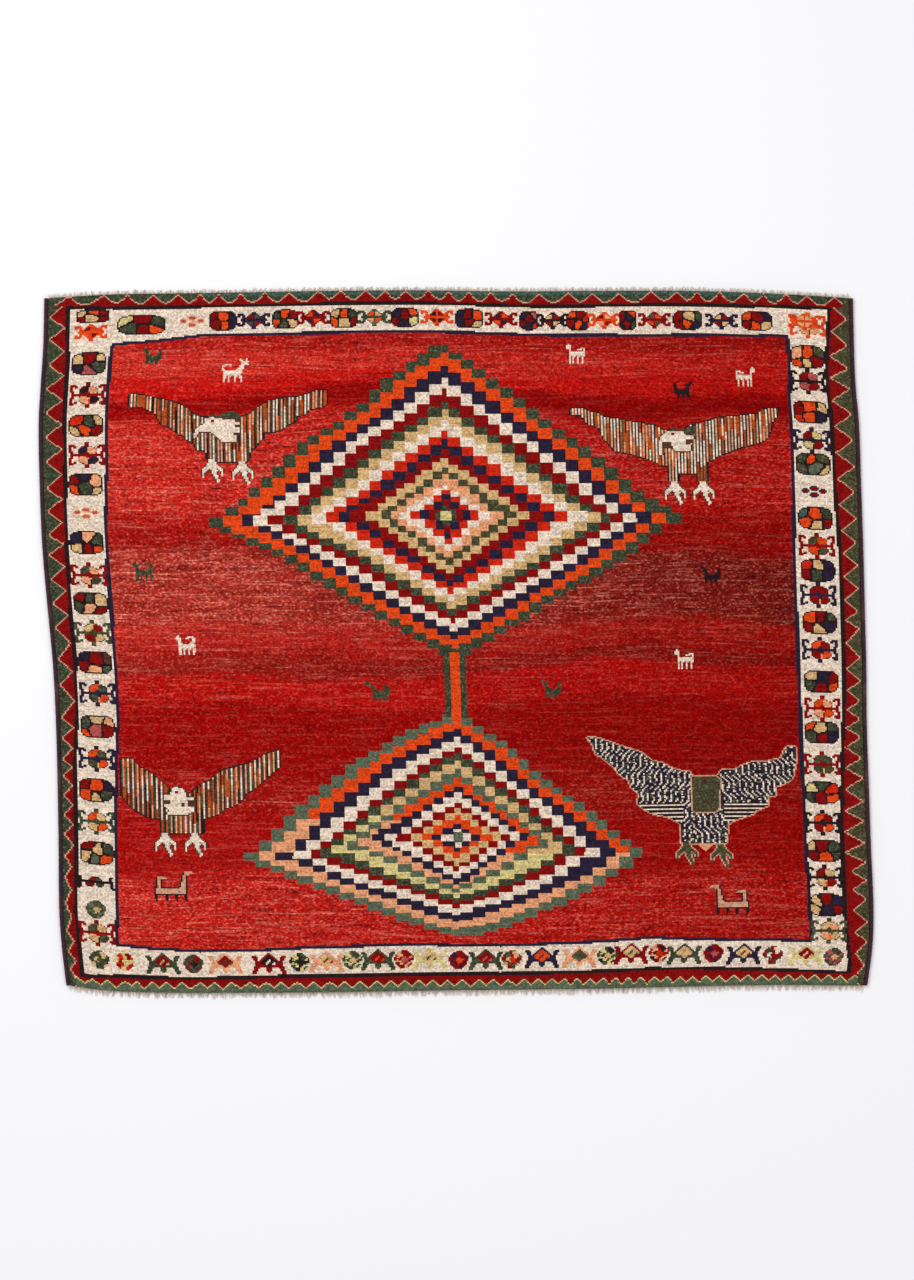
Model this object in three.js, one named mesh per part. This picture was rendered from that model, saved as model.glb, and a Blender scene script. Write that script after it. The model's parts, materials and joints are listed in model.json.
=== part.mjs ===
// A knotted-pile rug lying flat, face up: one flat slab of pile on its woven foundation,
// an overcast cord along each side, and a narrow web with short warp ends across each end.
// Millimetres, +Z up. X runs across the rug, Y along it, and the rug lies on Z = 0.

import * as THREE from "three";

// Pile and foundation
const RUG_THICKNESS = 10;
const EDGE_BEVEL = 1.5;
const POINTS_PER_SIDE = 60;
const POINTS_PER_END = 60;

// Overcast side cords
const CORD_WIDTH = 9;
const CORD_HEIGHT = 8;
const CORD_FACETS = 8;

// Webs and warp ends
const WEB_DEPTH = 3;
const WEB_THICKNESS = 2.4;
const STRANDS_PER_END = 140;
const STRAND_ROOT_WIDTH = 5.6;
const STRAND_TIP_WIDTH = 2.6;
const STRAND_LEAN = 1.6;
const TOP_STRANDS = { shortest: 4, longest: 8 };
const BOTTOM_STRANDS = { shortest: 7, longest: 13 };
const GOLDEN_ANGLE = Math.PI * (3 - Math.sqrt(5));

// Clearance between neighbouring pieces
const PIECE_GAP = 0.3;

// The rug's outer sides, cords included: x of the left and right side at each y
const SIDE_ROWS = [
  { y: -670, left: -761, right: 801 },
  { y: -593, left: -770, right: 811 },
  { y: -515, left: -775, right: 813 },
  { y: -398, left: -776, right: 808 },
  { y: -281, left: -778, right: 804 },
  { y: -164, left: -781, right: 800 },
  { y: -47, left: -787, right: 799 },
  { y: 70, left: -798, right: 796 },
  { y: 187, left: -808, right: 793 },
  { y: 304, left: -813, right: 789 },
  { y: 421, left: -815, right: 785 },
  { y: 499, left: -811, right: 778 },
  { y: 577, left: -806, right: 775 },
  { y: 669, left: -804, right: 773 },
];

// Where the pile stops at each end: y of the bottom and top end at each x between the corners
const END_ROWS = [
  { x: -676, bottom: -680, top: 676 },
  { x: -559, bottom: -684, top: 678 },
  { x: -422, bottom: -684, top: 680 },
  { x: -247, bottom: -683, top: 683 },
  { x: -71, bottom: -680, top: 684 },
  { x: 104, bottom: -678, top: 682 },
  { x: 280, bottom: -676, top: 683 },
  { x: 455, bottom: -672, top: 683 },
  { x: 611, bottom: -669, top: 678 },
];

const MATERIALS = {
  pile: new THREE.MeshStandardMaterial({ color: 0xb3202a, roughness: 0.95, metalness: 0 }),
  cord: new THREE.MeshStandardMaterial({ color: 0x3c2337, roughness: 0.9, metalness: 0 }),
  warp: new THREE.MeshStandardMaterial({ color: 0xe6dccb, roughness: 0.95, metalness: 0 }),
};

// x of the pile's side, which stands inside the cord and its gap
function pileSideX(row, side) {
  const inset = CORD_WIDTH + PIECE_GAP;
  return side === "left" ? row.left + inset : row.right - inset;
}

// One side of the pile, from the bottom corner to the top one
function pileSide(side) {
  return new THREE.SplineCurve(
    SIDE_ROWS.map((row) => new THREE.Vector2(pileSideX(row, side), row.y)),
  );
}

// One end of the pile, from the left corner to the right one
function pileEnd(end) {
  const cornerRow = end === "bottom" ? SIDE_ROWS[0] : SIDE_ROWS[SIDE_ROWS.length - 1];
  const between = END_ROWS.map((row) => new THREE.Vector2(row.x, row[end]));
  return new THREE.SplineCurve([
    new THREE.Vector2(pileSideX(cornerRow, "left"), cornerRow.y),
    ...between,
    new THREE.Vector2(pileSideX(cornerRow, "right"), cornerRow.y),
  ]);
}

// The whole pile as one flat slab, its upper and lower edges eased by a small bevel
function rugBody() {
  const outline = [
    ...pileEnd("bottom").getSpacedPoints(POINTS_PER_END).slice(0, -1),
    ...pileSide("right").getSpacedPoints(POINTS_PER_SIDE).slice(0, -1),
    ...pileEnd("top").getSpacedPoints(POINTS_PER_END).reverse().slice(0, -1),
    ...pileSide("left").getSpacedPoints(POINTS_PER_SIDE).reverse().slice(0, -1),
  ];
  const slab = new THREE.ExtrudeGeometry(new THREE.Shape(outline), {
    depth: RUG_THICKNESS - 2 * EDGE_BEVEL,
    bevelEnabled: true,
    bevelThickness: EDGE_BEVEL,
    bevelSize: EDGE_BEVEL,
    bevelOffset: -EDGE_BEVEL,
    bevelSegments: 1,
  });
  return slab.translate(0, 0, EDGE_BEVEL);
}

// Section of a side cord: an oval of flat facets, one of them lying on the floor
function cordSection() {
  const facetAngle = (2 * Math.PI) / CORD_FACETS;
  const toCorner = 1 / Math.cos(facetAngle / 2);
  const corners = Array.from({ length: CORD_FACETS }, (_, index) => {
    const angle = (index + 0.5) * facetAngle;
    return new THREE.Vector2(
      (CORD_HEIGHT / 2) * toCorner * Math.cos(angle),
      (CORD_WIDTH / 2) * toCorner * Math.sin(angle),
    );
  });
  return new THREE.Shape(corners);
}

// The cord that is overcast along one side, from the bottom corner to the top one
function sideCord(side) {
  const inset = side === "left" ? CORD_WIDTH / 2 : -CORD_WIDTH / 2;
  const centres = SIDE_ROWS.map(
    (row) => new THREE.Vector3(row[side] + inset, row.y, CORD_HEIGHT / 2),
  );
  return new THREE.ExtrudeGeometry(cordSection(), {
    steps: POINTS_PER_SIDE,
    extrudePath: new THREE.CatmullRomCurve3(centres, false, "catmullrom"),
  });
}

// Four corners of one warp end, in order along the web, from its root at the web's outer edge
function strandCorners(root, along, outward, index, lengths) {
  const turn = Math.sin(index * GOLDEN_ANGLE);
  const spread = (1 + Math.cos(index * GOLDEN_ANGLE * 2)) / 2;
  const length = lengths.shortest + (lengths.longest - lengths.shortest) * spread;
  const at = (shift, reach) =>
    root.clone().addScaledVector(along, shift).addScaledVector(outward, reach);
  return [
    at(-STRAND_ROOT_WIDTH / 2, 0),
    at(STRAND_LEAN * turn - STRAND_TIP_WIDTH / 2, length),
    at(STRAND_LEAN * turn + STRAND_TIP_WIDTH / 2, length),
    at(STRAND_ROOT_WIDTH / 2, 0),
  ];
}

// The web across one end with its warp ends, lying flat on the floor
function endFringe(end, lengths) {
  const edge = pileEnd(end);
  const away = end === "top" ? 1 : -1;
  const inner = [];
  const outer = [];
  for (const point of edge.getSpacedPoints(POINTS_PER_END)) {
    inner.push(new THREE.Vector2(point.x, point.y + away * PIECE_GAP));
  }
  for (let index = 0; index < STRANDS_PER_END; index += 1) {
    const place = (index + 0.5) / STRANDS_PER_END;
    const along = edge.getTangentAt(place);
    const outward = new THREE.Vector2(-along.y, along.x).multiplyScalar(away);
    const root = edge.getPointAt(place).addScaledVector(outward, PIECE_GAP + WEB_DEPTH);
    outer.push(...strandCorners(root, along, outward, index, lengths));
  }
  const web = new THREE.Shape([...inner, ...outer.reverse()]);
  return new THREE.ExtrudeGeometry(web, { depth: WEB_THICKNESS, bevelEnabled: false });
}

function namedMesh(name, geometry, material) {
  const mesh = new THREE.Mesh(geometry, material);
  mesh.name = name;
  return mesh;
}

// The finished rug, moved so that the middle of its box stands over the origin
function shirazRug() {
  const rug = new THREE.Group();
  rug.add(
    namedMesh("rug_body", rugBody(), MATERIALS.pile),
    namedMesh("selvedge_left", sideCord("left"), MATERIALS.cord),
    namedMesh("selvedge_right", sideCord("right"), MATERIALS.cord),
    namedMesh("fringe_top", endFringe("top", TOP_STRANDS), MATERIALS.warp),
    namedMesh("fringe_bottom", endFringe("bottom", BOTTOM_STRANDS), MATERIALS.warp),
  );
  const middle = new THREE.Box3().setFromObject(rug).getCenter(new THREE.Vector3());
  rug.position.set(-middle.x, -middle.y, 0);
  return rug;
}

export default shirazRug();
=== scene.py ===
"""Builds a shiraz rug on its CAD frame: a knotted pile, two wrapped selvedges and two fringes."""

import json
import logging
import math
from dataclasses import dataclass, field
from enum import Enum, IntEnum
from typing import Mapping, NamedTuple, Sequence

import bpy
import numpy as np
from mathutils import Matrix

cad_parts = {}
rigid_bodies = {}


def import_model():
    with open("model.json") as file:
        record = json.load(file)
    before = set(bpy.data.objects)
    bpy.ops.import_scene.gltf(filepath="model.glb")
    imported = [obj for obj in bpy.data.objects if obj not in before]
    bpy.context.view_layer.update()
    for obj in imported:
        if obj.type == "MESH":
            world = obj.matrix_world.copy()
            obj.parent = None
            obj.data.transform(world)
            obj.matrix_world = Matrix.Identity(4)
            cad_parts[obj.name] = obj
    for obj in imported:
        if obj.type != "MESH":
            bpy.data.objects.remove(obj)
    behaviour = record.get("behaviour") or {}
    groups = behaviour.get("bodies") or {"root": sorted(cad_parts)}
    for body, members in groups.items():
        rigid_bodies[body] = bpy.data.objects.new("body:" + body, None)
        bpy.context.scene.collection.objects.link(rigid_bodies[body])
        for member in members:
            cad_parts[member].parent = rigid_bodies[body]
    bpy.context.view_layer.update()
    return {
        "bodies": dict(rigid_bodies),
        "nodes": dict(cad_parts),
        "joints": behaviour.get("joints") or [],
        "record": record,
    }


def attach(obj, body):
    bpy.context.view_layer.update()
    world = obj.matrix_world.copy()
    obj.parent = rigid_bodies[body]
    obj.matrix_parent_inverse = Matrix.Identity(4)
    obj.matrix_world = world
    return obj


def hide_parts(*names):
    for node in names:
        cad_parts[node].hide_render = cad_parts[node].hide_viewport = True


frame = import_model()

LOG = logging.getLogger("rug")

COLUMNS = 512
ROWS = 530


class Yarn(IntEnum):
    """The dyed pile yarns, in the order of the palette."""

    FIELD_RED = 0
    CRIMSON = 1
    SCARLET = 2
    ORANGE = 3
    PEACH = 4
    CAMEL = 5
    YELLOW = 6
    IVORY = 7
    ROSE = 8
    BROWN = 9
    BLACK = 10
    NAVY = 11
    BLUE = 12
    GREEN = 13
    GREY_GREEN = 14
    OLIVE = 15
    RUST = 16
    BLUSH = 17


YARN_LETTERS = {
    "C": Yarn.CRIMSON,
    "S": Yarn.SCARLET,
    "O": Yarn.ORANGE,
    "P": Yarn.PEACH,
    "M": Yarn.CAMEL,
    "E": Yarn.YELLOW,
    "I": Yarn.IVORY,
    "R": Yarn.ROSE,
    "W": Yarn.BROWN,
    "K": Yarn.BLACK,
    "N": Yarn.NAVY,
    "B": Yarn.BLUE,
    "G": Yarn.GREEN,
    "H": Yarn.GREY_GREEN,
    "L": Yarn.OLIVE,
}


class Point(NamedTuple):
    """A place on the rug, in knots from its left side and its bottom end."""

    column: float
    row: float


class LinePoint(NamedTuple):
    """One place on a border: a column or row, and the border's two edges there."""

    at: float
    low: float
    high: float


def line_points(*places: tuple[float, float, float]) -> tuple[LinePoint, ...]:
    """Give the points of one side of the border from places and the two edges there."""
    return tuple(LinePoint(*place) for place in places)


def outline(*pairs: tuple[float, float]) -> tuple[Point, ...]:
    """Give the points of a shape from pairs of a column and a row."""
    return tuple(Point(column, row) for column, row in pairs)


def grown(mask: np.ndarray) -> np.ndarray:
    """Give a mask grown by one knot on its four sides.

    Args:
        mask: The shape.

    Returns:
        The shape with one more knot all round.
    """
    bigger = mask.copy()
    bigger[1:] |= mask[:-1]
    bigger[:-1] |= mask[1:]
    bigger[:, 1:] |= mask[:, :-1]
    bigger[:, :-1] |= mask[:, 1:]
    return bigger


@dataclass
class LoomChart:
    """The rug's knots, row 0 at the bottom end and column 0 at the left side."""

    columns: int = COLUMNS
    rows: int = ROWS
    seed: int = 11
    cells: np.ndarray = field(init=False)
    random: np.random.Generator = field(init=False)

    def __post_init__(self) -> None:
        """Lay an all-red chart and start the weaver's random draws."""
        self.cells = np.full((self.rows, self.columns), int(Yarn.FIELD_RED), dtype=np.int16)
        self.random = np.random.default_rng(self.seed)
        self.row, self.column = np.mgrid[0 : self.rows, 0 : self.columns]

    def paint(self, mask: np.ndarray, yarn: Yarn, edge: Yarn | None = None) -> None:
        """Tie the knots under a mask, with an edge one knot wide round them if asked.

        Args:
            mask: True at each knot to tie.
            yarn: Yarn of the shape.
            edge: Yarn of the line round the shape.
        """
        if edge is not None:
            self.cells[grown(mask)] = edge
        self.cells[mask] = yarn

    def block(self, left: float, bottom: float, right: float, top: float, yarn: Yarn) -> None:
        """Tie an oblong of knots, cut at the chart's edges.

        Args:
            left: First column.
            bottom: First row.
            right: Column just past the oblong.
            top: Row just past the oblong.
            yarn: Yarn of the oblong.
        """
        rows = slice(max(round(bottom), 0), max(round(top), 0))
        columns = slice(max(round(left), 0), max(round(right), 0))
        self.cells[rows, columns] = yarn

    def stamp(self, drawing: Sequence[str], left: float, top: float, yarns: Mapping[str, Yarn]) -> None:
        """Tie a small charted figure, its first line uppermost.

        Args:
            drawing: One string a row, one letter a knot; a dot leaves the ground.
            left: Column of the figure's first letter.
            top: Row just above the figure's first line.
            yarns: Yarn of each letter.
        """
        for down, line in enumerate(drawing):
            row = round(top) - 1 - down
            for across, letter in enumerate(line):
                column = round(left) + across
                inside = 0 <= row < self.rows and 0 <= column < self.columns
                if letter in yarns and inside:
                    self.cells[row, column] = yarns[letter]

    def within(self, corners: Sequence[Point]) -> np.ndarray:
        """Mask the knots inside a shape.

        Args:
            corners: The shape's corners, in order round it.

        Returns:
            True at each knot inside.
        """
        x = self.column + 0.5
        y = self.row + 0.5
        inside = np.zeros(x.shape, dtype=bool)
        for (x0, y0), (x1, y1) in zip(corners, (*corners[1:], corners[0])):
            if y0 != y1:
                crosses = (y0 > y) != (y1 > y)
                inside ^= crosses & (x < (x1 - x0) * (y - y0) / (y1 - y0) + x0)
        return inside


@dataclass(frozen=True)
class Frame:
    """The ivory border's four inner and outer edges, which wander by a knot or two."""

    left: tuple[LinePoint, ...] = line_points(
        (11, 9.7, 31), (33, 10, 31.7), (58, 9, 32.7), (97, 10, 33.2), (135, 10, 33), (174, 10, 34),
        (209, 12.3, 36), (258, 12.6, 36), (289, 13, 36.5), (328, 14, 36.5), (366, 14.3, 37.4),
        (405, 15.2, 39), (482, 14.8, 39.4), (496, 14, 41.3),
    )
    right: tuple[LinePoint, ...] = line_points(
        (15, 477, 500.4), (33, 476.4, 497.5), (57, 475.4, 495), (115, 474, 495), (172, 473.6, 497.2),
        (210, 473.6, 498.8), (243, 472.6, 499.3), (330, 472.4, 498.8), (380, 472.8, 496.9),
        (442, 473.2, 496), (472, 474, 495.4), (500, 473.4, 497), (520, 473, 498),
    )
    bottom: tuple[LinePoint, ...] = line_points(
        (10, 10.7, 34.5), (32, 13, 34.3), (53, 12.6, 32.4), (85, 12.3, 30.5), (117, 13, 30.8),
        (149, 14, 32.5), (213, 14.1, 34.1), (277, 13.5, 32.5), (341, 14.6, 34.7), (373, 15.6, 37),
        (405, 15.2, 34.7), (476, 12.2, 33), (500, 11.2, 33),
    )
    top: tuple[LinePoint, ...] = line_points(
        (14, 493, 520), (41, 493, 518.5), (65, 494.8, 518.3), (81, 496.8, 518), (97, 498.8, 518.5),
        (161, 499.5, 518.8), (225, 500, 519.3), (273, 499.5, 518.5), (321, 497.7, 517.1), (385, 497.4, 518),
        (433, 497.8, 518), (473, 499.2, 519.1), (498, 499.5, 519.8),
    )
    outer_line: float = 2.6
    inner_line: float = 2.2

    def edge(self, line: Sequence[LinePoint], at: np.ndarray | float, high: bool) -> np.ndarray:
        """Give one edge of the border at each row or column.

        Args:
            line: The side's line points.
            at: Rows or columns to give the edge at.
            high: Whether to give the upper or right edge of the two.

        Returns:
            The edge's column or row at each place.
        """
        places = [point.at for point in line]
        values = [point.high if high else point.low for point in line]
        return np.interp(at, places, values)

    def middle(self, line: Sequence[LinePoint], at: float) -> float:
        """Give the middle of the border at one row or column of one side."""
        return float(self.edge(line, at, False) + self.edge(line, at, True)) / 2

    def inside(self, chart: LoomChart, outer: bool, spread: float = 0.0) -> np.ndarray:
        """Mask the knots inside the border's outer or inner edge.

        Args:
            chart: The chart to mask.
            outer: Whether the outer edge bounds the mask.
            spread: Knots by which the mask is widened all round.

        Returns:
            True at each knot inside.
        """
        left = self.edge(self.left, chart.row, high=not outer) - spread
        right = self.edge(self.right, chart.row, high=outer) + spread
        bottom = self.edge(self.bottom, chart.column, high=not outer) - spread
        top = self.edge(self.top, chart.column, high=outer) + spread
        column = chart.column + 0.5
        row = chart.row + 0.5
        return (column >= left) & (column < right) & (row >= bottom) & (row < top)

    def weave(self, chart: LoomChart) -> None:
        """Tie the ivory ground, its dark lines and the bare red field.

        Args:
            chart: The chart to tie on.
        """
        chart.paint(self.inside(chart, outer=True, spread=self.outer_line), Yarn.BLACK)
        chart.paint(self.inside(chart, outer=True), Yarn.IVORY)
        chart.paint(self.inside(chart, outer=False), Yarn.NAVY)
        chart.paint(self.inside(chart, outer=False, spread=-self.inner_line), Yarn.FIELD_RED)


@dataclass(frozen=True)
class SideGuard:
    """Teeth down one side, pointing outwards, with a pale zigzag along their edge."""

    tips: tuple[float, ...]
    from_right: bool
    ground: Yarn
    teeth: Yarn = Yarn.CRIMSON
    line: Yarn = Yarn.BLUSH
    outer_column: float = 1.0
    tip_gap: float = 0.6
    line_width: float = 1.0
    narrow_row: float = 95.0
    narrow_share: float = 0.72

    def weave(self, chart: LoomChart, frame: Frame) -> None:
        """Tie the guard from the bottom of the rug to its top.

        Args:
            chart: The chart to tie on.
            frame: The border that the guard runs beside.
        """
        valleys = [(low + high) / 2 for low, high in zip(self.tips, self.tips[1:])]
        turns = sorted([*self.tips, *valleys])
        swing = [0.0 if turn in self.tips else 1.0 for turn in turns]
        side = frame.right if self.from_right else frame.left
        for row in range(chart.rows):
            border = float(frame.edge(side, row, high=self.from_right))
            depth = chart.columns - border if self.from_right else border
            inner = depth - frame.outer_line
            share = 1.0 if row > self.narrow_row else self.narrow_share
            reach = (inner - self.tip_gap - self.outer_column) * share
            here, above = (np.interp(row + step, turns, swing) for step in (-0.5, 0.5))
            low = self.outer_column + reach * min(here, above)
            high = self.outer_column + reach * max(here, above)
            self.tie_row(chart, row, low, max(high, low + self.line_width), inner)

    def tie_row(self, chart: LoomChart, row: int, low: float, high: float, inner: float) -> None:
        """Tie one row of the guard, counted in from the rug's side.

        Args:
            chart: The chart to tie on.
            row: The row.
            low: Where the pale line starts.
            high: Where the pale line ends.
            inner: Where the dark line of the border starts.
        """
        spans = ((0, low, self.ground), (low, high, self.line), (high, inner, self.teeth))
        for start, stop, yarn in spans:
            first, last = round(start), round(stop)
            if self.from_right:
                first, last = chart.columns - last, chart.columns - first
            chart.cells[row, first:last] = yarn


@dataclass(frozen=True)
class EndGuard:
    """A row of small teeth across one end, with a pale line along their edge."""

    at_top: bool
    tips: tuple[float, ...]
    tooth_base: float
    tooth_height: float
    sharpness: float
    tooth: Yarn
    behind: Yarn
    line: Yarn
    outermost: Yarn = Yarn.BLUE
    outermost_rows: int = 3
    outermost_span: tuple[int, int] = (96, 470)
    side_margin: int = 4
    reach_share: float = 0.54

    def weave(self, chart: LoomChart, frame: Frame) -> None:
        """Tie the guard between the rug's two sides.

        Args:
            chart: The chart to tie on.
            frame: The border that the guard runs along.
        """
        columns = np.arange(chart.columns)
        border = frame.edge(frame.top if self.at_top else frame.bottom, columns, high=self.at_top)
        distance = np.abs(columns[:, None] + 0.5 - np.array(self.tips)[None])
        pitch = np.interp(columns, self.tips[1:], np.diff(self.tips))
        share = np.clip(1 - distance.min(axis=1) / (pitch * self.reach_share), 0, 1)
        height = self.tooth_base + self.tooth_height * share**self.sharpness
        for column in range(self.side_margin, chart.columns - self.side_margin):
            self.tie_column(chart, column, float(border[column]), float(height[column]), frame)

    def tie_column(self, chart: LoomChart, column: int, border: float, height: float, frame: Frame) -> None:
        """Tie one column of the guard.

        Args:
            chart: The chart to tie on.
            column: The column.
            border: The row where the ivory border ends.
            height: How high the tooth stands here.
            frame: The border, for the width of its dark line.
        """
        if self.at_top:
            start = round(border + frame.outer_line)
            crest = min(start + round(height), chart.rows)
            chart.cells[start:crest, column] = self.tooth
            chart.cells[crest:, column] = self.behind
            if self.outermost_span[0] < column < self.outermost_span[1]:
                chart.cells[max(chart.rows - self.outermost_rows, crest) :, column] = self.outermost
            chart.cells[crest - 1, column] = self.line
        else:
            stop = round(border - frame.outer_line)
            crest = round(height)
            chart.cells[:crest, column] = self.tooth
            chart.cells[crest:stop, column] = self.behind
            chart.cells[max(crest - 1, 0), column] = self.line


@dataclass(frozen=True)
class Ring:
    """One ring of a stepped medallion, by the four tips of the diamond it fills."""

    yarn: Yarn
    low_yarn: Yarn
    left: float
    right: float
    top: float
    bottom: float
    middle_row: float


def read_rings(*lines: str) -> tuple[Ring, ...]:
    """Read a medallion's rings, the outermost first.

    Args:
        lines: Each ring's yarn letter, its left, right, top and bottom tips and its middle row.
            A second letter is the yarn that it changes to lower down.

    Returns:
        The rings.
    """
    rings = []
    for line in lines:
        letters, *tips = line.split()
        rings.append(Ring(YARN_LETTERS[letters[0]], YARN_LETTERS[letters[-1]], *map(float, tips)))
    return tuple(rings)


class Runs(NamedTuple):
    """How many knots one stair runs outwards, in each quarter of a medallion."""

    upper_left: float
    upper_right: float
    lower_left: float
    lower_right: float


@dataclass(frozen=True)
class SteppedMedallion:
    """Stepped diamonds one inside another, tied from the outermost ring in."""

    middle: float
    axis: tuple[Point, ...]
    left_outline: tuple[Point, ...]
    right_outline: tuple[Point, ...]
    runs: Runs
    rings: tuple[Ring, ...]
    tab_half: float = 2.2
    tab_share: float = 0.8
    middle_share: float = 0.62
    settling_stairs: int = 3
    least_stair: float = 0.15
    samples: int = 200
    wobble: float = 0.7
    left_change_row: float = 0.0
    right_change_row: float = 0.0

    def weave(self, chart: LoomChart) -> None:
        """Tie every ring of the medallion.

        Args:
            chart: The chart to tie on.
        """
        quarters = ((True, True), (True, False), (False, True), (False, False))
        for ring in self.rings:
            for run, (upward, to_left) in zip(self.runs, quarters):
                self.weave_quarter(chart, ring, run, upward, to_left)

    def reach(self, ring: Ring, rows: np.ndarray, to_left: bool) -> np.ndarray:
        """Give how far a ring spreads from the middle at some rows.

        Args:
            ring: The ring.
            rows: The rows, all on one side of the ring's middle row.
            to_left: Whether to measure to the left.

        Returns:
            Knots from the medallion's middle column to the ring's side.
        """
        side = self.left_outline if to_left else self.right_outline
        measured = np.interp(rows, [point.row for point in side], [point.column for point in side])
        straight = self.straight(self.rings[0], rows, to_left)
        bend = np.abs(measured - self.axis_column(rows)) - straight
        half = self.straight(ring, rows, to_left)
        return half + bend * np.clip(half / np.maximum(straight, 1.0), 0.0, 1.0)

    def straight(self, ring: Ring, rows: np.ndarray, to_left: bool) -> np.ndarray:
        """Give the reach that a ring would have with straight sides.

        Args:
            ring: The ring.
            rows: The rows, all on one side of the ring's middle row.
            to_left: Whether to measure to the left.

        Returns:
            Knots from the medallion's middle column to the straight side.
        """
        tips = np.where(rows > ring.middle_row, ring.top, ring.bottom)
        share = 1 - np.abs(rows - ring.middle_row) / np.abs(tips - ring.middle_row)
        half = self.middle - ring.left if to_left else ring.right - self.middle
        return half * share

    def axis_column(self, rows: np.ndarray | float) -> np.ndarray:
        """Give the column of the medallion's leaning upright axis at some rows."""
        return np.interp(rows, [point.row for point in self.axis], [point.column for point in self.axis])

    def stair_ends(self, ring: Ring, run: float, upward: bool, to_left: bool) -> list[float]:
        """Give the row where each stair of one quarter ends, from its tip to its middle row.

        Args:
            ring: The ring.
            run: Knots that one stair runs outwards.
            upward: Whether the quarter lies above the middle row.
            to_left: Whether it lies left of the axis.

        Returns:
            The rows; the last is the ring's middle row.
        """
        tip = ring.top if upward else ring.bottom
        rows = np.linspace(tip, ring.middle_row, self.samples)
        reach = np.maximum.accumulate(self.reach(ring, rows, to_left))
        stairs = math.ceil(max(reach[-1] / run - self.tab_share - self.least_stair, 0.0))
        if stairs == 0:
            return [ring.middle_row]
        ends = np.interp((np.arange(stairs) + self.tab_share) * run, reach, rows)
        climb = (tip - ring.middle_row) * run / reach[-1]
        slack = ring.middle_row + climb * self.middle_share - ends[-1]
        ends += slack * np.clip(1 - np.arange(stairs)[::-1] / self.settling_stairs, 0, 1)
        return [*ends.tolist(), ring.middle_row]

    def weave_quarter(self, chart: LoomChart, ring: Ring, run: float, upward: bool, to_left: bool) -> None:
        """Tie one quarter of a ring, stair by stair.

        Args:
            chart: The chart to tie on.
            ring: The ring.
            run: Knots that one stair runs outwards.
            upward: Whether the quarter lies above the middle row.
            to_left: Whether it lies left of the axis.
        """
        widest = float(self.reach(ring, np.array([ring.middle_row]), to_left)[0])
        ends = self.stair_ends(ring, run, upward, to_left)
        change_row = self.left_change_row if to_left else self.right_change_row
        start = ring.top if upward else ring.bottom
        for stair, end in enumerate(ends):
            half = widest
            if stair < len(ends) - 1:
                end += chart.random.uniform(-self.wobble, self.wobble)
                half = self.tab_half + stair * run + chart.random.uniform(-self.wobble, self.wobble)
                half = min(half, widest)
            bottom, top = sorted((start, end))
            middle = float(self.axis_column((bottom + top) / 2))
            yarn = ring.low_yarn if (bottom + top) / 2 < change_row else ring.yarn
            left, right = (middle - half, middle + 1) if to_left else (middle - 1, middle + half)
            chart.block(left, bottom, right, top, yarn)
            start = end
UPPER_MEDALLION = SteppedMedallion(
    middle=252.8,
    axis=outline((253.4, 253), (252.8, 360), (253.6, 489)),
    left_outline=outline(
        (250, 253.6), (242, 256), (223, 271), (203, 285), (180, 302), (164, 316), (146, 330),
        (122, 343), (108, 350), (103, 356), (112, 363), (128, 377), (145, 395), (166, 418),
        (186, 431), (204, 447), (214, 461), (232, 475), (246, 487), (251, 489.4),
    ),
    right_outline=outline(
        (256, 253.6), (263, 256), (284, 271), (306, 285), (321, 298), (339, 309), (359, 323),
        (376, 337), (391, 348), (400.6, 356), (392, 363), (376, 376), (361, 393), (339, 414),
        (319, 431), (303, 447), (284, 465), (268, 478), (256, 487), (253, 489.4),
    ),
    runs=Runs(7.6, 8.2, 7.8, 7.8),
    rings=read_rings(
        "G 103 400.6 489.4 253.6 356",
        "O 112 391 483 259 356.5",
        "N 124 382 473 265.5 357",
        "I 131 372.6 464 272 357",
        "C 139.5 364 455.5 278 357",
        "G 149.5 356 446.5 284 357",
        "M 158.5 350 439.5 289 357.5",
        "I 168 342 431.5 295 358",
        "S 176.5 329.5 424.5 300 358.5",
        "N 184.5 321 417.5 305.5 359",
        "C 192 314 410.5 311 359",
    ),
)
UPPER_HEART = SteppedMedallion(
    middle=252.8,
    axis=outline((253.6, 316), (252.8, 360), (252.8, 403)),
    left_outline=outline((252.5, 316.5), (202, 360), (252.5, 403)),
    right_outline=outline((252.5, 316.5), (305, 360), (252.5, 403)),
    runs=Runs(5.8, 6.2, 5.8, 6),
    rings=read_rings(
        "M 202 305 403 316.5 360",
        "L 212 297 396.5 322.5 360",
        "P 218 289 391 328 360",
        "I 223 279.5 383 333 360",
        "S 230 273 379 338 360",
        "N 236 268 376 342 360",
        "C 241.5 263 372 347 360",
        "G 246 259 367 352 360",
        "E 249 256 363 356 360",
    ),
)
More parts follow.
